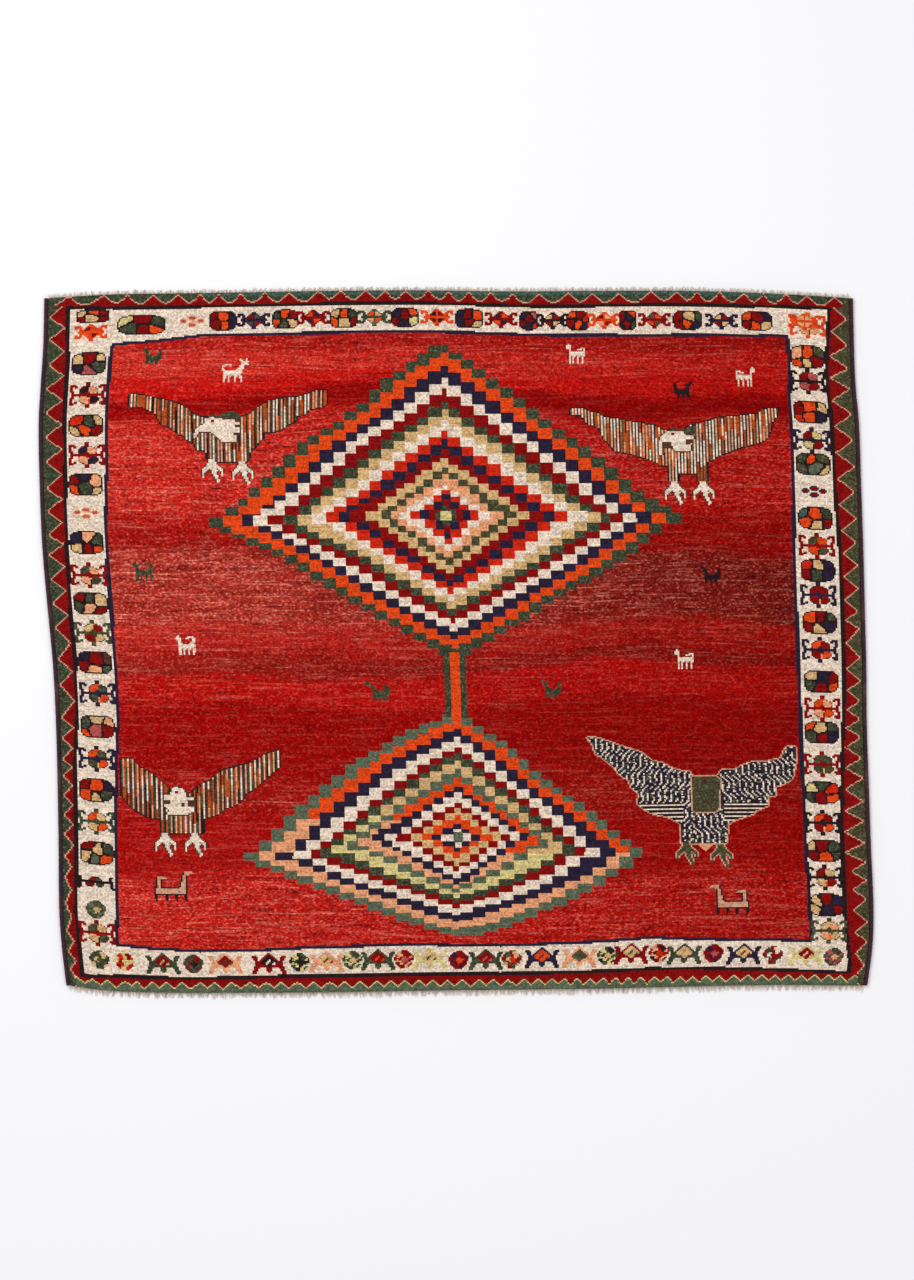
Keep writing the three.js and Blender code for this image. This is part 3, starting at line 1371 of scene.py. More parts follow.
def new_piece(name: str, points: Sequence, faces: Sequence) -> bpy.types.Object:
    """Make an object from points and faces and put it in the scene.

    Args:
        name: The new object's name.
        points: Its points, in metres.
        faces: The points of each face, in order round it.

    Returns:
        The object.
    """
    mesh = bpy.data.meshes.new(name)
    mesh.from_pydata(points, [], faces)
    piece = bpy.data.objects.new(name, mesh)
    bpy.context.scene.collection.objects.link(piece)
    return piece


def write_values(mesh: bpy.types.Mesh, name: str, domain: str, values: Sequence[float]) -> None:
    """Write one number for each point or face of a mesh."""
    attribute = mesh.attributes.new(name, "FLOAT", domain)
    attribute.data.foreach_set("value", np.array(values, dtype=np.float32))


def write_map(mesh: bpy.types.Mesh, name: str, places: Sequence) -> None:
    """Write a UV map, one pair for each corner of each face."""
    uv = mesh.uv_layers.new(name=name)
    uv.data.foreach_set("uv", np.array(places, dtype=np.float32).ravel())


def read_points(mesh: bpy.types.Mesh) -> np.ndarray:
    """Read the points of a mesh.

    Args:
        mesh: The mesh.

    Returns:
        Its points as rows of x, y and z.
    """
    points = np.zeros(len(mesh.vertices) * 3)
    mesh.vertices.foreach_get("co", points)
    return points.reshape(-1, 3)


@dataclass
class RugOutline:
    """The pile's outline as the CAD solid has it, and the way from a knot to its place."""

    body: str = "rug_body"
    rim_height: float = 0.0085
    tolerance: float = 0.0002
    rough_width: float = 1.6
    rough_length: float = 1.36
    passes: int = 4
    edges: dict[Edge, np.ndarray] = field(init=False)

    def __post_init__(self) -> None:
        """Read the outline at the solid's widest level and part it into four edges."""
        points = read_points(frame["nodes"][self.body].data)
        rim = points[np.abs(points[:, 2] - self.rim_height) < self.tolerance]
        rim = np.unique(np.round(rim[:, :2], 6), axis=0)
        rim = rim[np.argsort(np.arctan2(rim[:, 1], rim[:, 0]))]
        corners = ((-1, -1), (1, -1), (1, 1), (-1, 1))
        starts = [int(np.argmax(rim @ np.array(corner))) for corner in corners]
        rim = np.roll(rim, -starts[0], axis=0)
        stops = [(start - starts[0]) % len(rim) for start in starts[1:]] + [len(rim)]
        loop = np.vstack([rim, rim[:1]])
        first = 0
        self.edges = {}
        for edge, last in zip(Edge, stops):
            line = loop[first : last + 1]
            self.edges[edge] = line if edge in (Edge.BOTTOM, Edge.RIGHT) else line[::-1]
            first = last

    def side_x(self, edge: Edge, y: np.ndarray) -> np.ndarray:
        """Give the x of the left or right edge at some heights up the rug."""
        line = self.edges[edge]
        return np.interp(y, line[:, 1], line[:, 0])

    def end_y(self, edge: Edge, x: np.ndarray) -> np.ndarray:
        """Give the y of the bottom or top edge at some places across the rug."""
        line = self.edges[edge]
        return np.interp(x, line[:, 0], line[:, 1])

    def place(self, column: np.ndarray, row: np.ndarray) -> np.ndarray:
        """Give the place of each knot corner by blending the four edges.

        Args:
            column: Columns of the corners.
            row: Rows of the corners.

        Returns:
            An array of x and y pairs, in metres.
        """
        across = np.asarray(column, dtype=float) / COLUMNS
        up = np.asarray(row, dtype=float) / ROWS
        x = (across - 0.5) * self.rough_width
        y = (up - 0.5) * self.rough_length
        for _ in range(self.passes):
            y = self.end_y(Edge.BOTTOM, x) * (1 - up) + self.end_y(Edge.TOP, x) * up
            x = self.side_x(Edge.LEFT, y) * (1 - across) + self.side_x(Edge.RIGHT, y) * across
        return np.stack([x, y], axis=-1)


class Wave(NamedTuple):
    """A faint wave of the pile: its pace, how far its crests bend, and the pace of the bends."""

    pace: float
    bend: float
    bend_pace: float


class Patch(NamedTuple):
    """An oblong of knots of one yarn."""

    left: int
    bottom: int
    right: int
    top: int
    yarn: int


@dataclass
class PileMesh:
    """The pile as a closed slab whose upper face is parted into patches of one yarn each."""

    cells: np.ndarray
    outline: RugOutline
    longest_patch: int = 26
    height: float = 0.010
    rim_drop: float = 0.0015
    ripple: float = 0.0005
    cross_wave: Wave = Wave(11, 2.5, 5)
    long_wave: Wave = Wave(17, 2, 6)
    bake_upper_from: float = 0.14
    bake_wall: tuple[float, float, float] = (0.135, 0.129, 0.123)
    bake_back_to: float = 0.118
    patches: list[Patch] = field(init=False)
    corner_index: np.ndarray = field(init=False)

    def __post_init__(self) -> None:
        """Part the chart into patches and number the corners that they share."""
        self.patches = self.part()
        rows, columns = self.cells.shape
        used = np.zeros((rows + 1, columns + 1), dtype=bool)
        for patch in self.patches:
            used[patch.bottom, [patch.left, patch.right]] = True
            used[patch.top, [patch.left, patch.right]] = True
        self.corner_index = np.full(used.shape, -1)
        self.corner_index[used] = np.arange(used.sum())

    def part(self) -> list[Patch]:
        """Part the chart into oblongs of one yarn, the outer knots each alone.

        Returns:
            The patches.
        """
        rows, columns = self.cells.shape
        free = np.ones(self.cells.shape, dtype=bool)
        patches = []
        for row in range(rows):
            for column in range(columns):
                if free[row, column]:
                    patches.append(self.grow(free, column, row))
        return patches

    def grow(self, free: np.ndarray, column: int, row: int) -> Patch:
        """Grow one patch to the right and then upwards.

        Args:
            free: True at the knots that no patch holds yet.
            column: The patch's first column.
            row: The patch's first row.

        Returns:
            The patch, with its knots no longer free.
        """
        rows, columns = self.cells.shape
        yarn = self.cells[row, column]
        right, top = column + 1, row + 1
        if 0 < row < rows - 1 and 0 < column < columns - 1:
            stop = min(column + self.longest_patch, columns - 1)
            while right < stop and free[row, right] and self.cells[row, right] == yarn:
                right += 1
            stop = min(row + self.longest_patch, rows - 1)
            while top < stop:
                line = slice(column, right)
                if not free[top, line].all() or (self.cells[top, line] != yarn).any():
                    break
                top += 1
        free[row:top, column:right] = False
        return Patch(column, row, right, top, int(yarn))

    def rim(self) -> list[tuple[int, int]]:
        """List the outer corners round the rug.

        Returns:
            Row and column of each, from the lower left.
        """
        rows, columns = self.cells.shape
        bottom = [(0, column) for column in range(columns)]
        right = [(row, columns) for row in range(rows)]
        top = [(rows, column) for column in range(columns, 0, -1)]
        left = [(row, 0) for row in range(rows, 0, -1)]
        return bottom + right + top + left

    def ring(self, patch: Patch) -> list[tuple[int, int]]:
        """List the corners round a patch, with its neighbours' corners on its edges.

        Args:
            patch: The patch.

        Returns:
            Row and column of each corner.
        """
        corners = self.corner_index
        low, high = patch.bottom, patch.top
        left, right = patch.left, patch.right
        loop = [(low, column) for column in range(left, right) if corners[low, column] >= 0]
        loop += [(row, right) for row in range(low, high) if corners[row, right] >= 0]
        loop += [(high, column) for column in range(right, left, -1) if corners[high, column] >= 0]
        loop += [(row, left) for row in range(high, low, -1) if corners[row, left] >= 0]
        return loop

    def heights(self, places: np.ndarray, on_rim: np.ndarray) -> np.ndarray:
        """Give the pile's height at each corner, with the faint waves of a rug at rest.

        Args:
            places: The corners' x and y.
            on_rim: True at the corners on the outer edge.

        Returns:
            The heights, in metres.
        """
        x, y = places[:, 0], places[:, 1]
        cross, long = self.cross_wave, self.long_wave
        wave = np.sin(x * cross.pace + cross.bend * np.sin(y * cross.bend_pace))
        wave = wave + np.sin(y * long.pace + long.bend * np.cos(x * long.bend_pace))
        calm = self.height - self.ripple + self.ripple / 2 * wave
        return np.where(on_rim, self.height - self.rim_drop, calm)

    def build(self, name: str) -> bpy.types.Object:
        """Make the slab with its yarn attribute and its two UV maps.

        Args:
            name: The new object's name.

        Returns:
            The pile's object.
        """
        rows, columns = self.cells.shape
        row, column = np.nonzero(self.corner_index >= 0)
        places = self.outline.place(column, row)
        on_rim = (row == 0) | (row == rows) | (column == 0) | (column == columns)
        upper = np.column_stack([places, self.heights(places, on_rim)])
        rim = self.rim()
        rim_index = [int(self.corner_index[corner]) for corner in rim]
        rim_places = places[rim_index]
        inward = rim_places * (1 - self.rim_drop / np.abs(rim_places).max(axis=1, keepdims=True))
        wall = np.column_stack([rim_places, np.full(len(rim), self.rim_drop)])
        floor = np.column_stack([inward, np.zeros(len(rim))])
        faces = [
            [int(self.corner_index[corner]) for corner in self.ring(patch)] for patch in self.patches
        ]
        yarns = [patch.yarn for patch in self.patches]
        count = len(upper)
        around = len(rim)
        below = count + around
        for step in range(around):
            following = (step + 1) % around
            faces.append([rim_index[following], rim_index[step], count + step, count + following])
            faces.append([count + following, count + step, below + step, below + following])
            yarns += [self.rim_yarn(rim[step], rim[following])] * 2
        faces.append([below + step for step in reversed(range(around))])
        yarns.append(int(Yarn.FIELD_RED))
        piece = new_piece(name, np.vstack([upper, wall, floor]).tolist(), faces)
        knots = np.column_stack([column, row]).astype(float)
        knots = np.vstack([knots, knots[rim_index], knots[rim_index]])
        self.mark(piece.data, knots, yarns, around)
        return piece

    def rim_yarn(self, here: tuple[int, int], following: tuple[int, int]) -> int:
        """Give the yarn of the outer knot beside one stretch of the rim.

        Args:
            here: Row and column of the stretch's first corner.
            following: Row and column of its other corner.

        Returns:
            The yarn's number.
        """
        rows, columns = self.cells.shape
        row = min(here[0], following[0], rows - 1)
        column = min(here[1], following[1], columns - 1)
        return int(self.cells[row, column])

    def mark(self, mesh: bpy.types.Mesh, knots: np.ndarray, yarns: list[int], around: int) -> None:
        """Write the yarn of each face, the loom's UV map and the map for the baked colours.

        Args:
            mesh: The slab's mesh.
            knots: Column and row of every point.
            yarns: Yarn of every face.
            around: How many points the rim has.
        """
        write_values(mesh, "yarn", "FACE", yarns)
        vertex = np.zeros(len(mesh.loops), dtype=np.int32)
        mesh.loops.foreach_get("vertex_index", vertex)
        write_map(mesh, "Loom", knots[vertex])
        places = read_points(mesh)[:, :2]
        share = ((places - places.min(axis=0)) / np.ptp(places, axis=0))[vertex]
        upper_from = self.bake_upper_from
        baked = np.column_stack([share[:, 0], upper_from + (1 - upper_from) * share[:, 1]])
        starts = np.zeros(len(mesh.polygons), dtype=np.int32)
        mesh.polygons.foreach_get("loop_start", starts)
        back = int(starts[-1])
        high, middle, low = self.bake_wall
        along = np.repeat(np.arange(around), 8) / around
        step = np.tile([1.0, 0.0, 0.0, 1.0], around * 2) / around
        level = np.tile([high, high, middle, middle, middle, middle, low, low], around)
        baked[int(starts[len(self.patches)]) : back] = np.column_stack([along + step, level])
        baked[back:] = np.column_stack([share[back:, 0], self.bake_back_to * share[back:, 1]])
        write_map(mesh, "OFBake", baked)
        slots = np.zeros(len(mesh.polygons), dtype=np.int32)
        slots[-1] = 1
        mesh.polygons.foreach_set("material_index", slots)


@dataclass
class WrappedSelvedge:
    """One side's bound edge: a cord overcast with wool, ridged wrap by wrap."""

    side: Edge
    outline: RugOutline
    gap: float = 0.0003
    width: float = 0.009
    height: float = 0.008
    wraps: int = 430
    rings_per_wrap: int = 4
    facets: int = 12
    groove: float = 0.11
    ridge_roundness: float = 1.5
    unevenness: float = 0.035
    lean: float = 0.55
    bake_strips: int = 8
    bake_margin: float = 0.03
    bake_strips_to: float = 0.98
    bake_cap: tuple[float, float] = (0.02, 0.99)
    bake_cap_radius: float = 0.006
    seed: int = 5

    def build(self, name: str) -> bpy.types.Object:
        """Make the cord along its side of the pile.

        Args:
            name: The new object's name.

        Returns:
            The selvedge's object.
        """
        edge = self.outline.edges[self.side]
        rings = self.wraps * self.rings_per_wrap + 1
        share = np.linspace(0, 1, rings)
        y = edge[0, 1] + (edge[-1, 1] - edge[0, 1]) * share
        away = -1 if self.side is Edge.LEFT else 1
        x = self.outline.side_x(self.side, y) + away * (self.gap + self.width / 2)
        angle = np.arange(self.facets) / self.facets * 2 * math.pi
        turn = share[:, None] * self.wraps + self.lean * angle[None] / (2 * math.pi)
        ridge = np.abs(np.sin(turn * math.pi))
        random = np.random.default_rng(self.seed)
        swell = random.normal(0, self.unevenness, self.wraps + 2)
        thinner = np.abs(np.interp(turn, np.arange(self.wraps + 2), swell))
        size = 1 - self.groove * (1 - ridge) ** self.ridge_roundness - thinner
        points = np.zeros((rings, self.facets, 3))
        points[..., 0] = x[:, None] + self.width / 2 * size * np.cos(angle)
        points[..., 1] = y[:, None]
        points[..., 2] = np.maximum(self.height / 2 * (1 + size * np.sin(angle)), 0.0)
        faces, baked = self.skin(rings)
        piece = new_piece(name, points.reshape(-1, 3).tolist(), faces)
        write_values(piece.data, "wrap", "POINT", turn.ravel())
        write_map(piece.data, "OFBake", baked)
        return piece

    def skin(self, rings: int) -> tuple[list[list[int]], list[tuple[float, float]]]:
        """List the cord's faces with the baked map's place of each face corner.

        Args:
            rings: How many rings of points the cord has.

        Returns:
            The faces, and a UV pair for each of their corners.
        """
        faces = []
        baked = []
        count = self.facets
        margin = self.bake_margin
        per_strip = math.ceil((rings - 1) / self.bake_strips)
        for ring in range(rings - 1):
            strip, along = divmod(ring, per_strip)
            for facet in range(count):
                following = (facet + 1) % count
                low, high = ring * count, (ring + 1) * count
                faces.append([low + following, low + facet, high + facet, high + following])
                for ahead, turn in ((0, facet + 1), (0, facet), (1, facet), (1, facet + 1)):
                    across = strip + margin + (1 - 2 * margin) * turn / count
                    across *= self.bake_strips_to / self.bake_strips
                    baked.append(((along + ahead) / per_strip, across))
        faces.append(list(range(count)))
        faces.append([(rings - 1) * count + facet for facet in reversed(range(count))])
        for _ in range(2):
            for facet in range(count):
                angle = facet / count * 2 * math.pi
                x, y = (self.bake_cap_radius * wave(angle) for wave in (math.cos, math.sin))
                baked.append((self.bake_cap[0] + x, self.bake_cap[1] + y))
        return faces, baked


@dataclass
class FringeMesh:
    """A fringe's mesh as it grows: points, faces, and the values kept for each."""

    points: list = field(default_factory=list)
    faces: list = field(default_factory=list)
    baked: list = field(default_factory=list)
    reach: list = field(default_factory=list)
    dye: list = field(default_factory=list)

    def add_face(self, loop: list, places: list, turned: bool) -> None:
        """Add a face with its corners' places in the baked map, turned over if asked."""
        self.faces.append(loop[::-1] if turned else loop)
        self.baked += places[::-1] if turned else places

    def build(self, name: str) -> bpy.types.Object:
        """Make the object with its two values for each point and its baked map.

        Args:
            name: The new object's name.

        Returns:
            The object.
        """
        piece = new_piece(name, self.points, self.faces)
        write_values(piece.data, "reach", "POINT", self.reach)
        write_values(piece.data, "dye", "POINT", self.dye)
        write_map(piece.data, "OFBake", self.baked)
        return piece


class Thread(NamedTuple):
    """One warp thread: its root, its form, and its number, which places it in the baked map."""

    x: float
    y: float
    length: float
    slant: float
    curl: float
    number: int


@dataclass
class WarpFringe:
    """One end's fringe: short warp threads in small clumps on a narrow woven strip."""

    end: Edge
    outline: RugOutline
    shortest: float
    longest: float
    clumps: int = 300
    threads_per_clump: int = 6
    clump_stray: float = 0.3
    gap: float = 0.0003
    strip_depth: float = 0.003
    strip_height: float = 0.0013
    strip_slope: float = 0.7
    root_height: float = 0.0019
    root_gap: float = 0.0001
    corner_gap: float = 0.001
    thread_radius: float = 0.00042
    thread_taper: float = 0.55
    spread: float = 0.0022
    slant: float = 0.32
    thread_slant: float = 0.16
    curl: float = 0.5
    straight_at: float = 0.4
    least_length: float = 0.72
    fall: float = 1.3
    segments: int = 4
    strip_steps: int = 120
    strip_dye: float = 0.5
    bake_columns: int = 60
    bake_margin: float = 0.1
    bake_threads_to: float = 0.98
    bake_strip_from: float = 0.985
    bake_strip_step: float = 0.0035
    bake_cap: tuple[float, float] = (0.999, 0.9995)
    seed: int = 21

    @property
    def away(self) -> int:
        """Give 1 where the fringe points up the rug, and -1 where it points down."""
        return 1 if self.end is Edge.TOP else -1

    def build(self, name: str) -> bpy.types.Object:
        """Make the strip and its threads as one piece.

        Args:
            name: The new object's name.

        Returns:
            The fringe's object.
        """
        random = np.random.default_rng(self.seed)
        edge = self.outline.edges[self.end]
        left, right = edge[0, 0], edge[-1, 0]
        fringe = FringeMesh()
        self.add_strip(fringe, left, right)
        for clump in range(self.clumps):
            stray = random.uniform(-self.clump_stray, self.clump_stray)
            share = (clump + 0.5 + stray) / self.clumps
            middle = left + (right - left) * share
            length = random.uniform(self.shortest, self.longest)
            lean = random.normal(0, self.slant)
            for turn in range(self.threads_per_clump):
                x = middle + random.uniform(-1, 1) * self.spread
                x = min(max(x, left + self.corner_gap), right - self.corner_gap)
                start = self.gap + self.thread_radius + self.root_gap
                y = float(self.outline.end_y(self.end, x)) + self.away * start
                own_length = length * random.uniform(self.least_length, 1.0)
                slant = lean + random.normal(0, self.thread_slant)
                curl = random.normal(0, self.curl)
                number = clump * self.threads_per_clump + turn
                self.add_thread(fringe, Thread(x, y, own_length, slant, curl, number))
                fringe.dye += [random.random()] * ((self.segments + 1) * 3)
        return fringe.build(name)

    def add_strip(self, fringe: FringeMesh, left: float, right: float) -> None:
        """Add the woven strip that the threads grow from.

        Args:
            fringe: The mesh to add to.
            left: The x of the strip's left end.
            right: The x of its right end.
        """
        x = np.linspace(left, right, self.strip_steps + 1)
        near = self.outline.end_y(self.end, x) + self.away * self.gap
        far = near + self.away * self.strip_depth
        high = self.strip_height
        section = ((near, 0.0), (far, 0.0), (far, high * self.strip_slope), (near, high))
        for step in range(len(x)):
            fringe.points += [(x[step], y[step], z) for y, z in section]
        turned = self.away > 0
        for step in range(self.strip_steps):
            here, there = step / self.strip_steps, (step + 1) / self.strip_steps
            for corner in range(4):
                first = step * 4 + corner
                second = step * 4 + (corner + 1) % 4
                near_v = self.bake_strip_from + corner * self.bake_strip_step
                far_v = self.bake_strip_from + (corner + 1) * self.bake_strip_step
                places = [(here, near_v), (here, far_v), (there, far_v), (there, near_v)]
                fringe.add_face([first, second, second + 4, first + 4], places, turned)
        stop = [self.strip_steps * 4 + corner for corner in range(4)]
        for loop in ([3, 2, 1, 0], stop):
            fringe.add_face(loop, [self.bake_cap] * 4, turned)
        fringe.reach += [0.0] * len(fringe.points)
        fringe.dye += [self.strip_dye] * len(fringe.points)

    def add_thread(self, fringe: FringeMesh, thread: Thread) -> None:
        """Add one thread, three-sided and closed, from its root to its tip.

        Args:
            fringe: The mesh to add to.
            thread: The thread.
        """
        first = len(fringe.points)
        x, y = thread.x, thread.y
        for level in range(self.segments + 1):
            share = level / self.segments
            if level:
                turn = thread.slant + thread.curl * (share - self.straight_at)
                x += math.sin(turn) * thread.length / self.segments
                y += self.away * math.cos(turn) * thread.length / self.segments
            radius = self.thread_radius * (1 - self.thread_taper * share)
            height = self.root_height * (1 - share) ** self.fall + radius
            for side in range(3):
                angle = math.pi / 2 + side * 2 * math.pi / 3
                fringe.points.append((x + radius * math.cos(angle), y, height + radius * math.sin(angle)))
                fringe.reach.append(share)
        turned = self.away > 0
        spots = self.bake_spots(thread.number)
        for level in range(self.segments):
            low = first + level * 3
            for side in range(3):
                following = (side + 1) % 3
                loop = [low + side, low + following, low + 3 + following, low + 3 + side]
                near, far = spots[level], spots[level + 1]
                fringe.add_face(loop, [near[side], near[side + 1], far[side + 1], far[side]], turned)
        last = first + self.segments * 3
        fringe.add_face([first, first + 2, first + 1], [spots[0][0]] * 3, turned)
        fringe.add_face([last, last + 1, last + 2], [spots[-1][0]] * 3, turned)

    def bake_spots(self, number: int) -> list[list[tuple[float, float]]]:
        """Give a thread's places in the baked map, by its level and its side.

        Args:
            number: The thread's number.

        Returns:
            Four places for each level, from the root to the tip.
        """
        rows = math.ceil(self.clumps * self.threads_per_clump / self.bake_columns) + 1
        row, column = divmod(number, self.bake_columns)
        margin = self.bake_margin
        size = 1 - 2 * margin
        across = [(column + margin + size * side / 3) / self.bake_columns for side in range(4)]
        spots = []
        for level in range(self.segments + 1):
            up = (row + margin + size * level / self.segments) / rows * self.bake_threads_to
            spots.append([(place, up) for place in across])
        return spots


Colour = tuple[float, float, float]


def linear(red: float, green: float, blue: float) -> Colour:
    """Turn a colour as seen, 0 to 255, into the linear values that a shader takes."""
    return tuple(((value / 255 + 0.055) / 1.055) ** 2.4 for value in (red, green, blue))


@dataclass(frozen=True)
class Palette:
    """The dyed yarns as they look in soft daylight."""

    yarns: Mapping[Yarn, Colour] = field(
        default_factory=lambda: {
            Yarn.FIELD_RED: linear(168, 16, 12),
            Yarn.CRIMSON: linear(132, 16, 16),
            Yarn.SCARLET: linear(202, 40, 20),
            Yarn.ORANGE: linear(220, 70, 24),
            Yarn.PEACH: linear(224, 154, 112),
            Yarn.CAMEL: linear(206, 168, 116),
            Yarn.YELLOW: linear(208, 190, 128),
            Yarn.IVORY: linear(228, 208, 188),
            Yarn.ROSE: linear(172, 80, 76),
            Yarn.BROWN: linear(84, 52, 42),
            Yarn.BLACK: linear(42, 28, 30),
            Yarn.NAVY: linear(42, 34, 54),
            Yarn.BLUE: linear(56, 84, 76),
            Yarn.GREEN: linear(54, 62, 44),
            Yarn.GREY_GREEN: linear(84, 96, 76),
            Yarn.OLIVE: linear(66, 64, 40),
            Yarn.RUST: linear(176, 76, 32),
            Yarn.BLUSH: linear(204, 150, 122),
        }
    )
    deep_red: Colour = linear(150, 4, 4)
    clear_red: Colour = linear(200, 14, 10)
    pink_red: Colour = linear(218, 66, 52)
    brown_red: Colour = linear(92, 12, 8)
    pale_fleck: Colour = linear(238, 140, 120)
    pale_green: Colour = linear(168, 160, 132)


class DyeBand(NamedTuple):
    """One band of the field's red: its row, how deep, how pink and how flecked, each 0 to 1."""

    row: float
    deep: float
    pink: float
    fleck: float


DYE_BANDS = tuple(
    DyeBand(*band)
    for band in (
        (30, 0.20, 0.18, 0.70), (82, 0.20, 0.22, 0.85), (92, 0.50, 0.04, 0.30),
        (130, 0.52, 0.02, 0.25), (142, 0.60, 0.12, 0.55), (160, 0.56, 0.06, 0.40),
        (168, 0.62, 0.00, 0.28), (214, 0.60, 0.00, 0.25), (221, 0.30, 0.04, 0.40),
        (238, 0.28, 0.04, 0.40), (243, 0.80, 0.14, 0.55), (251, 0.72, 0.14, 0.50),
        (258, 0.50, 0.22, 0.45), (272, 0.48, 0.34, 0.55), (281, 0.88, 0.48, 1.00),
        (330, 0.92, 0.46, 1.00), (338, 0.62, 0.06, 0.45), (358, 0.46, 0.06, 0.40),
        (366, 0.16, 0.26, 0.80), (416, 0.14, 0.30, 0.80), (432, 0.20, 0.20, 0.60),
        (440, 0.66, 0.00, 0.20), (450, 0.64, 0.00, 0.20), (455, 0.08, 0.02, 0.30),
        (464, 0.06, 0.08, 0.35), (470, 0.06, 0.42, 0.60), (482, 0.08, 0.34, 0.60),
        (488, 0.40, 0.16, 0.60), (498, 0.46, 0.12, 0.50),
    )
)


class Grain(NamedTuple):
    """Soft noise over the knots: how many columns and rows it spans, its layer and its detail."""

    columns: float
    rows: float
    layer: float
    detail: float


class Rise(NamedTuple):
    """How a value turns into a weight: where it starts, how steeply it climbs, and its full weight."""

    start: float
    slope: float
    weight: float


class Shade:
    """One socket of a shader, so that its maths can be written as Python expressions."""

    def __init__(self, tree: bpy.types.NodeTree, socket: bpy.types.NodeSocket) -> None:
        """Hold a socket and the tree that it belongs to."""
        self.tree = tree
        self.socket = socket

    def maths(self, operation: str, *others: "Shade | float") -> "Shade":
        """Add a Math node of this value and the others.

        Args:
            operation: The node's operation.
            others: Further values, as sockets or numbers.

        Returns:
            The node's result.
        """
        node = self.tree.nodes.new("ShaderNodeMath")
        node.operation = operation
        for place, value in zip(node.inputs, (self, *others)):
            join(self.tree, place, value)
        return Shade(self.tree, node.outputs[0])

    def __add__(self, other: "Shade | float") -> "Shade":
        """Add."""
        return self.maths("ADD", other)

    __radd__ = __add__

    def __mul__(self, other: "Shade | float") -> "Shade":
        """Multiply."""
        return self.maths("MULTIPLY", other)

    __rmul__ = __mul__

    def __sub__(self, other: "Shade | float") -> "Shade":
        """Take away."""
        return self.maths("SUBTRACT", other)

    def __rsub__(self, other: "Shade | float") -> "Shade":
        """Take this value away from another."""
        return (self * -1.0) + other

    def __truediv__(self, other: "Shade | float") -> "Shade":
        """Divide."""
        return self.maths("DIVIDE", other)

    def __rtruediv__(self, other: "Shade | float") -> "Shade":
        """Divide another value by this one."""
        return self.maths("POWER", -1.0) * other

    def over(self, level: float) -> "Shade":
        """Give how far this value is over a level, or 0."""
        return (self - level).maths("MAXIMUM", 0.0)

    def above(self, level: float) -> "Shade":
        """Give 1 where this value is over a level, and 0 elsewhere."""
        return self.maths("GREATER_THAN", level)

    def floor(self) -> "Shade":
        """Round down."""
        return self.maths("FLOOR")

    def fraction(self) -> "Shade":
        """Give what is left past the whole number."""
        return self.maths("FRACT")

    def clamped(self) -> "Shade":
        """Hold the value between 0 and 1."""
        return self.maths("MAXIMUM", 0.0).maths("MINIMUM", 1.0)

    def rise(self, rise: Rise) -> "Shade":
        """Weigh this value: nothing at the start, then climbing to the full weight."""
        return ((self - rise.start) * rise.slope).clamped() * rise.weight

    def off_middle(self) -> "Shade":
        """Give how far a place is from the middle of its knot, 0 to a half."""
        return (self.fraction() - 0.5).maths("ABSOLUTE")

    def peak(self) -> "Shade":
        """Give 1 in the middle of each knot and 0 at its edges."""
        return 1.0 - self.off_middle() * 2.0


def join(tree: bpy.types.NodeTree, place: bpy.types.NodeSocket, value: object) -> None:
    """Link a socket to an input, or set the input to a plain value.

    Args:
        tree: The shader's tree.
        place: The input.
        value: A Shade, a number, or a tuple for a vector or colour.
    """
    if isinstance(value, Shade):
        tree.links.new(value.socket, place)
    elif isinstance(value, tuple) and place.type == "RGBA" and len(value) == 3:
        place.default_value = (*value, 1.0)
    else:
        place.default_value = value


def set_stops(ramp: bpy.types.ColorRamp, stops: Sequence[tuple[float, Colour]]) -> None:
    """Set a ramp's places and colours.

    Args:
        ramp: The ramp.
        stops: Place and colour of each stop, in order.
    """
    while len(ramp.elements) < len(stops):
        ramp.elements.new(0.5)
    for element, (place, _) in zip(ramp.elements, stops):
        element.position = place
    for element, (place, colour) in zip(ramp.elements, stops):
        element.position = place
        element.color = (*colour, 1.0)


